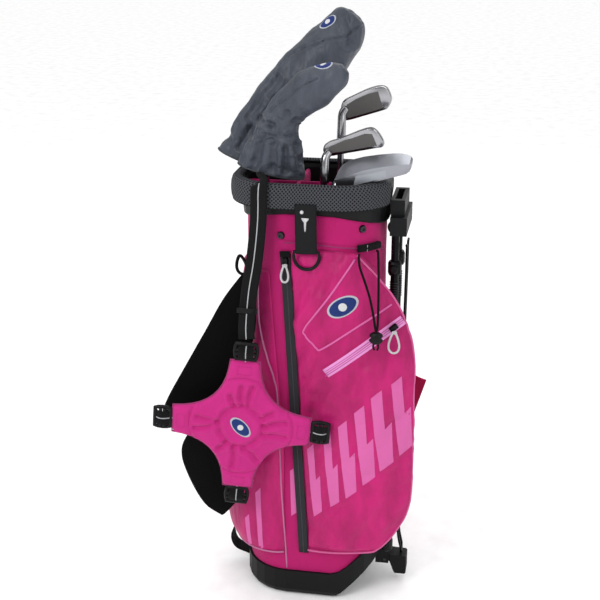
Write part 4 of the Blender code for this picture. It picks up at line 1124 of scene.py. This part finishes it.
def build_cord_fittings():
    path = [sleeve_at(s, 0.4860, 0.0035) for s in spread(0.058, 0.089, 10)]
    anchor = strap("cord_anchor_web", path, 0.0085, 0.0052, LOOKS["webbing"], crown=0.0008)
    settle(anchor, "bag", "black_acetal", "cord_anchor")
    mark = [path[4] + Vector((0.0004, -0.0036, dz)) for dz in (-0.0040, 0.0, 0.0040)]
    settle(tube("cord_anchor_stitch", mark, 0.0004, LOOKS["reflective"]), "bag", "black_acetal")
    top = Vector((0.0855, -0.0890, 0.3915))
    rings = []
    for drop, wide, deep in ((0.0, 0.0046, 0.0036), (0.0015, 0.0068, 0.0048), (0.0040, 0.0086, 0.0054),
                             (0.0070, 0.0060, 0.0056), (0.0100, 0.0088, 0.0054), (0.0128, 0.0070, 0.0046),
                             (0.0142, 0.0046, 0.0034)):
        rings.append([top + Vector((wide * math.cos(a), -deep * math.sin(a), -drop))
                      for a in turns(28)])
    lock = mesh_piece("cord_lock_body", skin(rings), LOOKS["acetal"])
    pieces = [settle(lock, "bag", "black_acetal", "cord_lock")]
    for number, shift in enumerate((-0.0022, 0.0022)):
        tail = route(((top.x + shift, top.y, top.z - 0.013),
                      (top.x + shift * 1.4, top.y - 0.001, top.z - 0.018),
                      (top.x + shift * 0.8, top.y, top.z - 0.0225)), 5)
        tail_piece = tube(f"cord_tail_{number + 1}", tail, 0.0013, LOOKS["cord"])
        pieces.append(settle(tail_piece, "bag", "elastic_cord"))
    return pieces


# ---------------------------------------------------------------- collar and mouth


def build_collar_pad():
    """The spacer-mesh pad round the collar, from one side of the stand bracket to the other."""
    half = half_round(COLLAR_SIZE)
    start = COLLAR_SIZE[0] / 2 - COLLAR_SIZE[2] + COLLAR_SIZE[2] * math.pi / 2 - 0.020
    profile = [(0.0012, 0.5345), (0.0026, 0.5352), (0.0037, 0.5385), (0.0043, 0.5440), (0.0043, 0.5500),
               (0.0037, 0.5560), (0.0020, 0.5608), (-0.0010, 0.5634), (-0.0050, 0.5642), (-0.0090, 0.5636),
               (-0.0122, 0.5612), (-0.0090, 0.5604), (-0.0040, 0.5604), (-0.0010, 0.5595), (0.0002, 0.5560)]
    places = [s if s > -half else s + 2 * half for s in spread(start, start - 2 * half + BRACKET_GAP, 150)]
    rings = [[rim(COLLAR_SIZE, s, z, out, COLLAR_SHIFT) for out, z in profile] for s in places]
    pad = mesh_piece("collar_mesh_pad", skin(rings), LOOKS["mesh"])
    settle(pad, "bag", "spacer_mesh", "collar_pad")
    for name, z, out in (("collar_binding_low", 0.5346, 0.0018), ("collar_binding_inner", 0.5614, -0.0124)):
        line = [rim(COLLAR_SIZE, s, z, out, COLLAR_SHIFT) for s in places]
        settle(tube(name, line, 0.0008, LOOKS["webbing"]), "bag", "spacer_mesh")


def build_divider():
    """The padded bars that cross in the mouth: one runs front to back, two run across it."""
    bars = (("divider_left", "body", (-0.0850, -0.006), (0.0180, -0.006), ("club_divider",)),
            ("divider_right", "webbing", (0.0185, -0.006), (0.0775, -0.006), ()),
            ("divider_deep", "body", (-0.022, -0.0590), (-0.022, 0.0590), ()))
    for name, look, (x0, y0), (x1, y1), nodes in bars:
        rings = []
        for share in spread(0, 1, 40):
            x, y = blend(x0, x1, share), blend(y0, y1, share)
            across = Vector((0, 1, 0)) if y0 == y1 else Vector((1, 0, 0))
            ring = []
            for angle in turns(20):
                wide = 0.0032 * abs(math.cos(angle)) ** 0.6 * (1 if math.cos(angle) > 0 else -1)
                tall = 0.0098 * abs(math.sin(angle)) ** 0.7 * (1 if math.sin(angle) > 0 else -1)
                ring.append(Vector((x, y, 0.5425 + tall)) + across * wide)
            rings.append(ring)
        bar = mesh_piece(name, skin(rings), LOOKS[look])
        settle(bar, "bag", "collar_plastic", *nodes)


# ---------------------------------------------------------------- stand


def build_stand_details():
    """Thumb screws on the leg clamps and the ratchet strips."""
    for side, name in ((-1, "left"), (1, "right")):
        body = f"leg_{name}_body"
        centre = Vector((0.0995, side * 0.022, 0.452))
        rings = []
        for out, radius in ((0.0070, 0.0030), (0.0082, 0.0046), (0.0112, 0.0048), (0.0124, 0.0034)):
            ring = []
            for angle in turns(36):
                reach = radius * (1 + 0.05 * math.cos(9 * angle))
                ring.append(centre + Vector((reach * math.cos(angle), -out, reach * math.sin(angle))))
            rings.append(ring)
        settle(sharpen(mesh_piece(f"clamp_knob_{name}", skin(rings), LOOKS["acetal"])), body, "black_acetal")
        for number in range(11):
            z = 0.4335 - 0.0032 * number
            middle = Vector((0.0995, side * 0.022, z))
            ring = [middle + Vector((0.0055 * math.cos(a), 0.0055 * math.sin(a), 0)) for a in turns(20)]
            settle(tube(f"ratchet_{name}_{number + 1}", ring, 0.0006, LOOKS["screw"], loop=True,
                        facing=Vector((0, 0, 1))), body, "screw_steel")


def build_leg_strap():
    """Folded pink webbing between the bag and the legs."""
    path = route(((0.0880, 0.0440, 0.2560), (0.0960, 0.0455, 0.2575), (0.1045, 0.0440, 0.2555),
                  (0.1130, 0.0460, 0.2560), (0.1220, 0.0435, 0.2535), (0.1320, 0.0430, 0.2505)), 8)
    made = strap("leg_strap_web", path, 0.056, 0.0024, LOOKS["leg_strap"], Vector((0, 1, 0)), crown=0.0006)
    settle(made, "bag", "strap_webbing", "leg_strap")


# ---------------------------------------------------------------- harness

HARNESS_CENTRE = Vector((-0.078, -0.1045, 0.264))
HARNESS_TURN = math.radians(6)
HARNESS_TILT = math.radians(4.5)
ARM_REACH = 0.086


def harness_at(x, z, out):
    """A point of the pad's own plane: x across, z up, out towards the front."""
    tilted = Matrix.Rotation(HARNESS_TILT, 3, "Y") @ Vector((x, -out, z))
    return HARNESS_CENTRE + Matrix.Rotation(HARNESS_TURN, 3, "Z") @ tilted


def arm_point(arm, across, along, out):
    """A point of one arm: 0 up, 1 right, 2 down, 3 left."""
    at = Matrix.Rotation(-arm * math.pi / 2, 2) @ Vector((across, along))
    return harness_at(at.x, at.y, out)


def harness_edge(steps=10):
    """The pad's outline: four arms with straight ends, and hollow curves between them."""
    line = []
    half_wide = 0.018
    for arm in range(4):
        right = Vector((half_wide, ARM_REACH))
        nearest = Matrix.Rotation(-math.pi / 2, 2) @ Vector((-half_wide, ARM_REACH))
        hollow = (right + nearest) * 0.20
        turn = Matrix.Rotation(-arm * math.pi / 2, 2)
        for share in (-1.0, -0.5, 0.0, 0.5):
            at = turn @ Vector((half_wide * share, ARM_REACH))
            line.append(harness_at(at.x, at.y, 0))
        for step in range(steps):
            t = step / steps
            at = turn @ (right * (1 - t) ** 2 + hollow * (2 * t * (1 - t)) + nearest * t * t)
            line.append(harness_at(at.x, at.y, 0))
    return line


# Creases in the pad's cloth, from the disc outwards, in the pad's own plane.
HARNESS_CREASES = (
    ((0.0290, 0.0035), (0.0550, 0.0105)), ((0.0290, -0.0085), (0.0565, -0.0088)),
    ((0.0270, 0.0140), (0.0380, 0.0215)), ((-0.0295, 0.0050), (-0.0540, 0.0075)),
    ((-0.0295, 0.0010), (-0.0575, -0.0080)), ((0.0000, 0.0295), (-0.0018, 0.0535)),
    ((0.0070, 0.0290), (0.0120, 0.0545)), ((-0.0090, 0.0280), (-0.0150, 0.0400)),
    ((-0.0070, -0.0290), (-0.0075, -0.0560)), ((0.0060, -0.0290), (0.0235, -0.0450)),
    ((-0.0170, -0.0240), (-0.0260, -0.0330)),
)


def build_harness_pad():
    shape = bmesh.new()
    shape.from_mesh(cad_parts["harness_pad"].data)
    pad = mesh_piece("harness_pad_cushion", shape, LOOKS["pad"])
    remesh(pad, 0.0035)
    rim_line = harness_edge()
    rim_line.append(rim_line[0])
    inflate(pad, 3.5, 0.005, 0.0, lambda start: line_distance(start, rim_line) < 0.0055)
    subdivide(pad)
    out = harness_at(0, 0, 1) - harness_at(0, 0, 0)
    disc = [harness_at(0.0265 * math.cos(a), 0.0265 * math.sin(a), 0) for a in turns(48)]
    disc.append(disc[0])
    press(pad, [disc], 0.0034, 0.0034, 0.35, out)
    creases = []
    for (x0, z0), (x1, z1) in HARNESS_CREASES:
        bend = Vector(((x0 + x1) / 2 - (z1 - z0) * 0.06, (z0 + z1) / 2 + (x1 - x0) * 0.06))
        creases.append([harness_at(x0, z0, 0), harness_at(bend.x, bend.y, 0), harness_at(x1, z1, 0)])
    press(pad, creases, 0.0034, 0.0030, 0.4, out)
    seams = []
    for arm in range(4):
        seams.append([arm_point(arm, x, 0.0650 - 12 * x * x, 0) for x in spread(-0.022, 0.022, 8)])
    press(pad, seams, 0.0016, 0.0022, 0.3, out)
    settle(pad, "bag", "pad_polyester", "harness_pad")
    tree = tree_of(pad)
    inward = -out.normalized()
    edge = tube("harness_binding", harness_edge(), 0.0013, LOOKS["edge"], loop=True)
    settle(edge, "bag", "pad_polyester")
    for arm in range(4):
        line = [drop_on(tree, arm_point(arm, x, 0.0650 - 12 * x * x, 0.02), inward, 0.0)
                for x in spread(-0.0185, 0.0185, 12)]
        settle(stitches(f"arm_stitch_{arm + 1}", line, LOOKS["thread"]), "bag", "pad_polyester")
        box = [(-0.0085, 0.0700), (0.0085, 0.0700), (0.0085, 0.0800), (-0.0085, 0.0800), (-0.0085, 0.0700)]
        corners = []
        for (x0, y0), (x1, y1) in zip(box, box[1:]):
            corners += [(blend(x0, x1, k / 4), blend(y0, y1, k / 4)) for k in range(4)]
        corners.append(box[0])
        line = [drop_on(tree, arm_point(arm, x, y, 0.02), inward, 0.0) for x, y in corners]
        settle(stitches(f"arm_box_{arm + 1}", line, LOOKS["thread"]), "bag", "pad_polyester")
    badge("harness_badge", tree, HARNESS_CENTRE + out * 0.02, 0.0160, 0.0088, math.radians(-48), "bag",
          inward)


def build_buckle(name, arm):
    """A ladder-lock buckle: a rounded frame with two bars, and the webbing through it."""
    half, rows = 0.0125, (0.0030, 0.0075, 0.0125, 0.0175)
    outline = []
    for across, along in ((-1, 0.0), (-1.08, 0.5), (-1, 1.0), (1, 1.0), (1.08, 0.5), (1, 0.0)):
        outline.append(arm_point(arm, half * across, ARM_REACH + 0.0025 + 0.0195 * along, 0.0))
    outline = [point.lerp(after, t) for point, after in zip(outline, [*outline[1:], outline[0]])
               for t in (0.0, 0.33, 0.67)]
    facing = harness_at(0, 0, 1) - harness_at(0, 0, 0)
    frame_piece = tube(f"{name}_frame", outline, 0.0026, LOOKS["acetal"], loop=True, sides=10, facing=facing)
    settle(frame_piece, "bag", "black_acetal", name)
    for number, along in enumerate(rows[1:3]):
        ends = [arm_point(arm, x, ARM_REACH + 0.0025 + along, 0.0022) for x in spread(-half, half, 4)]
        bar = tube(f"{name}_bar_{number + 1}", ends, 0.0022, LOOKS["acetal"], facing=facing)
        settle(bar, "bag", "black_acetal")
    path = route([arm_point(arm, 0, ARM_REACH + y, out) for y, out in
                  ((-0.006, 0.0), (0.002, 0.0005), (0.009, 0.0040), (0.016, 0.0042), (0.022, -0.0015))], 5)
    striped_webbing(name, path, (0.0190, 0.0018, 0.0013), facing, facing.normalized() * 0.0011)


def strap_pad(name, node, outer, inner, thickness, crown):
    """A padded strap whose two edges are given."""
    rings = []
    for left, right in zip(route(outer, 8), route(inner, 8)):
        ring = []
        for share, out in [(k / 10, 1) for k in range(11)] + [(1 - k / 10, -1) for k in range(11)]:
            swell = thickness / 2 + crown * math.sin(math.pi * share)
            ring.append(left.lerp(right, share) + FRONT * (swell * out))
        rings.append(ring)
    pad = mesh_piece(name, skin(rings), LOOKS["strap_pad"])
    subdivide(pad)
    settle(pad, "bag", "black_webbing", node)


def build_straps():
    upper = route(((-0.0575, -0.0590, 0.5625), (-0.0575, -0.0690, 0.5655), (-0.0575, -0.0770, 0.5610),
                   (-0.0578, -0.0795, 0.5500), (-0.0580, -0.0795, 0.5350), (-0.0595, -0.0790, 0.5100),
                   (-0.0640, -0.0800, 0.4700), (-0.0700, -0.0845, 0.4300), (-0.0715, -0.0945, 0.3930),
                   (-0.0702, -0.1000, 0.3765)), 6)
    facing = Vector((-0.35, -1, 0.12))
    striped_webbing("upper_strap", upper, (0.023, 0.0022, 0.0014), facing, facing.normalized() * 0.0013,
                    "upper_strap")
    near = min(upper, key=lambda point: abs(point.z - 0.409))
    keeper = [near + Vector((x, -0.0022 - 0.0008 * math.cos(x * 130), 0)) for x in spread(-0.0125, 0.0125, 8)]
    settle(strap("strap_keeper", keeper, 0.0065, 0.0022, LOOKS["acetal"]), "bag", "black_acetal")

    strap_pad("shoulder_strap_pad", "shoulder_strap",
              ((-0.0820, -0.0680, 0.4490), (-0.1065, -0.0690, 0.4150), (-0.1290, -0.0700, 0.3740),
               (-0.1560, -0.0720, 0.3250), (-0.1770, -0.0760, 0.2860), (-0.1870, -0.0820, 0.2620)),
              ((-0.0640, -0.0690, 0.4480), (-0.0640, -0.0700, 0.4170), (-0.0670, -0.0710, 0.3700),
               (-0.0850, -0.0720, 0.3250), (-0.1180, -0.0750, 0.2860), (-0.1500, -0.0800, 0.2560)),
              0.0050, 0.0030)
    strap_pad("lower_shoulder_pad", "lower_shoulder_strap",
              ((-0.1480, -0.0700, 0.2420), (-0.1640, -0.0670, 0.2150), (-0.1680, -0.0650, 0.1950),
               (-0.1635, -0.0650, 0.1745), (-0.1500, -0.0680, 0.1465), (-0.1330, -0.0760, 0.1290),
               (-0.1080, -0.0880, 0.1230)),
              ((-0.1050, -0.0740, 0.2400), (-0.1110, -0.0740, 0.2200), (-0.1100, -0.0740, 0.1990),
               (-0.1040, -0.0750, 0.1785), (-0.0990, -0.0770, 0.1620), (-0.0930, -0.0820, 0.1530),
               (-0.0880, -0.0880, 0.1480)), 0.0044, 0.0026)
    tail = route(((-0.1060, 0.0100, 0.0640), (-0.1150, 0.0100, 0.0520), (-0.1190, 0.0100, 0.0380),
                  (-0.1130, 0.0100, 0.0230), (-0.0940, 0.0100, 0.0150)), 6)
    striped_webbing("lower_strap", tail, (0.022, 0.0022, 0.0014), Vector((-1, 0, 0.2)),
                    Vector((-0.0012, 0, 0)), "lower_strap")
    middle, half = Vector((-0.0905, -0.0330, 0.4485)), Vector((-0.0015, 0, 0.0120))
    loop = [middle + half * math.cos(a) + Vector((0.0062 * math.sin(a) * (1 - 0.35 * math.cos(a)), 0, 0))
            for a in turns(30)]
    settle(tube("hanging_loop", loop, 0.0021, LOOKS["webbing"], loop=True), "bag", "black_webbing",
           "webbing_loop")


# ---------------------------------------------------------------- clubs

DRIVER_COVER = (
    (-0.0960, 0.0190, 0.5720, 0.0345, 0.0190), (-0.0895, 0.0193, 0.5900, 0.0310, 0.0180),
    (-0.0810, 0.0197, 0.6120, 0.0285, 0.0178), (-0.0656, 0.0215, 0.6340, 0.0290, 0.0190),
    (-0.0460, 0.0260, 0.6560, 0.0312, 0.0220), (-0.0250, 0.0315, 0.6770, 0.0325, 0.0250),
    (-0.0010, 0.0385, 0.7010, 0.0318, 0.0280), (0.0170, 0.0440, 0.7210, 0.0285, 0.0265),
    (0.0290, 0.0475, 0.7370, 0.0245, 0.0225), (0.0360, 0.0490, 0.7460, 0.0180, 0.0165),
    (0.0395, 0.0495, 0.7510, 0.0085, 0.0080),
)
HYBRID_COVER = (
    (-0.0520, -0.0325, 0.5705, 0.0405, 0.0205), (-0.0490, -0.0328, 0.5850, 0.0388, 0.0198),
    (-0.0455, -0.0332, 0.6010, 0.0350, 0.0186), (-0.0425, -0.0345, 0.6210, 0.0278, 0.0168),
    (-0.0330, -0.0395, 0.6430, 0.0235, 0.0172), (-0.0150, -0.0500, 0.6620, 0.0228, 0.0185),
    (0.0060, -0.0590, 0.6765, 0.0220, 0.0180), (0.0215, -0.0635, 0.6860, 0.0190, 0.0160),
    (0.0325, -0.0650, 0.6940, 0.0140, 0.0115), (0.0385, -0.0655, 0.6985, 0.0065, 0.0055),
)


def build_cover(name, stations, gathers, folds, seams):
    """A soft cloth hood: inflated, gathered at its neck and open at its hem."""
    sides = 64
    rings = []
    loft = route(stations, 9)
    places = [Vector(point[:3]) for point in loft]
    for k, (point, place) in enumerate(zip(loft, places)):
        tangent = places[min(k + 1, len(places) - 1)] - places[max(k - 1, 0)]
        front, side = frame_along(tangent, FRONT)
        rings.append([place + side * (point[3] * math.cos(a)) + front * (point[4] * math.sin(a))
                      for a in turns(sides)])
    cover = mesh_piece(f"{name}_cover_cloth", skin(rings), LOOKS["cover"])
    rows = grid_places(rings)[1]
    inflate(cover, 4.0, 0.0035, 0.02, lambda start: rows < 2)
    bm = bmesh.new()
    bm.from_mesh(cover.data)
    hem = [face for face in bm.faces if len(face.verts) > 4 and face.calc_center_median().z < 0.60]
    bmesh.ops.delete(bm, geom=hem, context="FACES_ONLY")
    bm.to_mesh(cover.data)
    bm.free()
    subdivide(cover)
    points = coordinates(cover)
    normals = vertex_normals(cover)
    neck, spread_over = gathers
    far = (points[:, 2] - neck) / spread_over
    turn = np.arctan2(points[:, 1] - points[:, 1].mean(), points[:, 0] + 0.06)
    pleats = np.sin(turn * 19) + 0.6 * np.sin(turn * 31 + 1.3)
    move = -0.0013 * (0.5 + 0.5 * pleats) * np.exp(-far ** 2)
    set_coordinates(cover, points + normals * move[:, None])
    press(cover, folds, 0.0034, 0.0042, 0.6, FRONT)
    press(cover, seams, 0.0016, 0.0016, 0.5, FRONT)
    ripple(cover, 0.0036, np.array((24.0, 8.0, 16.0)), np.array((-4.0, 6.0, 9.0)), 4.0)
    ripple(cover, 0.0013, np.array((66.0, 20.0, 40.0)), np.array((-12.0, 20.0, 30.0)), 7.0)
    thick = cover.modifiers.new("thickness", "SOLIDIFY")
    thick.thickness = 0.0016
    thick.offset = -1
    bake(cover)
    settle(cover, name, "cover_satin", f"{name}_cover")
    hem = [place + (point - place) * 1.01 for place, point in ((places[0], p) for p in rings[0])]
    settle(tube(f"{name}_hem", hem, 0.0013, LOOKS["hem"], loop=True, facing=Vector((0, 0, 1))), name,
           "cover_satin")
    return cover


def build_covers():
    def line(*points):
        return [Vector((x, 0, z)) for x, z in points]

    driver = build_cover(
        "driver", DRIVER_COVER, (0.607, 0.014),
        [line((-0.086, 0.625), (-0.078, 0.640), (-0.065, 0.655), (-0.052, 0.673)),
         line((-0.098, 0.590), (-0.088, 0.608), (-0.075, 0.626)),
         line((-0.060, 0.648), (-0.030, 0.652), (-0.008, 0.664)),
         line((0.028, 0.748), (0.036, 0.732), (0.034, 0.716))],
        [line((-0.052, 0.675), (-0.048, 0.687), (-0.036, 0.701), (-0.020, 0.709), (0.006, 0.719),
              (0.030, 0.724), (0.048, 0.738))],
    )
    knot = Vector((-0.029, 0, 0.622))
    rays = []
    for number in range(10):
        turn = math.radians(12 + 36 * number)
        ray = Vector((math.cos(turn), 0, math.sin(turn)))
        rays.append([knot + ray * 0.006, knot + ray * (0.015 + 0.004 * (number % 3))])
    hybrid = build_cover(
        "hybrid", HYBRID_COVER, (0.622, 0.015),
        [line((-0.059, 0.611), (-0.066, 0.587), (-0.074, 0.572)), line((-0.066, 0.634), (-0.046, 0.630)),
         line((-0.041, 0.604), (-0.046, 0.577)), line((-0.030, 0.602), (-0.031, 0.575)),
         line((-0.019, 0.604), (-0.014, 0.580)), *rays],
        [line((-0.049, 0.646), (-0.030, 0.663), (-0.012, 0.677), (0.011, 0.689))],
    )
    for cover, body, centre, turn, toward in (
        (driver, "driver", Vector((0.0080, 0.0330, 0.7370)), 0.75, Vector((0.40, 0.72, -0.56))),
        (hybrid, "hybrid", Vector((0.0190, -0.0620, 0.6977)), 0.25, Vector((0.45, 0.45, -0.77))),
    ):
        badge(f"{body}_badge", tree_of(cover), centre, 0.0118, 0.0080, turn, body, toward.normalized())


def build_blade(name, y, lean, outline, face, hosel):
    """An iron held sole up: a rounded plate, deeper at its sole, with a blasted face."""
    outline = closed_route([(x, 0, z) for x, z in outline], 4)
    middle = sum(outline, Vector()) / len(outline)
    low = min(point.z for point in outline)
    tall = max(point.z for point in outline) - low

    def at(point, scale, out):
        place = middle.lerp(point, scale)
        deep = out if out > 0 else out * (0.35 + 0.65 * (point.z - low) / tall)
        return Vector((place.x, y - lean * (place.z - middle.z) - deep, place.z))

    layers = ((0.72, -0.0120), (0.94, -0.0115), (1.0, -0.0090), (1.0, -0.0015), (0.985, 0.0008),
              (0.95, 0.0014))
    rings = [[at(point, scale, out) for point in outline] for scale, out in layers]
    head = mesh_piece(f"{name}_blade", skin(rings), LOOKS["chrome"])
    settle(sharpen(head, 50), name, "polished_steel", f"{name}_head")
    face = [Vector((x, 0, z)) for x, z in face]
    rings = [[at(point, 1.0, out) for point in face] for out in (0.0009, 0.0018)]
    settle(sharpen(mesh_piece(f"{name}_face", skin(rings), LOOKS["face"])), name, "polished_steel")
    neck = tube(f"{name}_hosel_neck", route(hosel, 6), lambda share: blend(0.0056, 0.0048, share),
                LOOKS["chrome"], sides=20)
    settle(neck, name, "polished_steel")


# Places along the putter's head: X, then the heights of its lower edge, ridge and upper edge.
PUTTER_STATIONS = (
    (0.0283, 0.5640, 0.5675, 0.5690), (0.0300, 0.5585, 0.5675, 0.5735), (0.0345, 0.5545, 0.5690, 0.5800),
    (0.0430, 0.5550, 0.5722, 0.5860), (0.0600, 0.5612, 0.5795, 0.5910), (0.0780, 0.5665, 0.5838, 0.5942),
    (0.0940, 0.5712, 0.5868, 0.5962), (0.1050, 0.5745, 0.5885, 0.5966), (0.1120, 0.5768, 0.5893, 0.5955),
    (0.1160, 0.5800, 0.5896, 0.5935), (0.1180, 0.5845, 0.5885, 0.5905),
)


def build_putter():
    """A heel-and-toe putter held sole up: the face below the ridge and the sole above it."""
    rings = []
    for x, low, ridge, high in PUTTER_STATIONS:
        ring = [(-0.0500, low), (-0.0540, blend(low, ridge, 0.5)), (-0.0550, ridge),
                (-0.0430, blend(ridge, high, 0.55)), (-0.0300, high), (-0.0285, high - 0.0030),
                (-0.0330, low + 0.0015)]
        rings.append([Vector((x, y, z)) for y, z in ring])
    head = mesh_piece("putter_blade", skin(rings), LOOKS["satin"])
    settle(sharpen(head, 30), "putter", "satin_steel", "putter_head")
    tree = tree_of(head)
    corners = ((0.0505, 0, 0.5605), (0.0895, 0, 0.5725), (0.0890, 0, 0.5822), (0.0535, 0, 0.5735))
    strip = patch("putter_insert", tree, corners, LOOKS["patch"], 12, 4, 0.0004)
    settle(strip, "putter", "satin_steel")
    neck = route(((0.0476, -0.0440, 0.5320), (0.0474, -0.0441, 0.5400), (0.0380, -0.0442, 0.5455),
                  (0.0296, -0.0440, 0.5500), (0.0300, -0.0420, 0.5600), (0.0400, -0.0400, 0.5660)), 6)
    settle(tube("putter_neck_piece", neck, 0.0052, LOOKS["chrome"], sides=20), "putter", "satin_steel")


def build_heads():
    build_blade(
        "iron", 0.0050, 0.22,
        ((0.0290, 0.6495), (0.0398, 0.6560), (0.0589, 0.6655), (0.0732, 0.6695), (0.0816, 0.6674),
         (0.0866, 0.6586), (0.0874, 0.6515), (0.0834, 0.6430), (0.0775, 0.6398), (0.0560, 0.6325),
         (0.0348, 0.6257), (0.0290, 0.6280), (0.0262, 0.6380)),
        ((0.0300, 0.6315), (0.0340, 0.6460), (0.0450, 0.6530), (0.0600, 0.6602), (0.0715, 0.6635),
         (0.0775, 0.6430), (0.0560, 0.6356), (0.0352, 0.6290)),
        ((0.0275, 0.0055, 0.6018), (0.0279, 0.0050, 0.6200), (0.0285, 0.0060, 0.6340),
         (0.0330, 0.0075, 0.6420)),
    )
    build_blade(
        "wedge", -0.0250, 0.22,
        ((0.0110, 0.6010), (0.0180, 0.6065), (0.0307, 0.6110), (0.0603, 0.6236), (0.0721, 0.6229),
         (0.0813, 0.6113), (0.0821, 0.6029), (0.0726, 0.6002), (0.0429, 0.5936), (0.0159, 0.5877),
         (0.0100, 0.5930)),
        ((0.0150, 0.5915), (0.0175, 0.6000), (0.0310, 0.6062), (0.0600, 0.6180), (0.0690, 0.6180),
         (0.0745, 0.6040), (0.0430, 0.5968)),
        ((0.0127, -0.0290, 0.5570), (0.0127, -0.0288, 0.5720), (0.0130, -0.0270, 0.5860),
         (0.0170, -0.0230, 0.5940)),
    )
    build_putter()


# ---------------------------------------------------------------- assembly

finish_cad_nodes()
build_stage()
build_cord(build_cord_fittings())
SLEEVE = build_sleeve()
build_band(SLEEVE)
POCKET = build_apparel_pocket()
SIDE = build_side_pocket()
build_pocket_trim(POCKET)
build_left_trim(SLEEVE, SIDE)
build_long_zip()
build_short_zip(POCKET)
build_pulls()
build_tab()
build_collar_pad()
build_divider()
build_stand_details()
build_leg_strap()
build_harness_pad()
for buckle, quarter in (("buckle_top", 0), ("buckle_right", 1), ("buckle_bottom", 2), ("buckle_left", 3)):
    build_buckle(buckle, quarter)
build_straps()
build_covers()
build_heads()
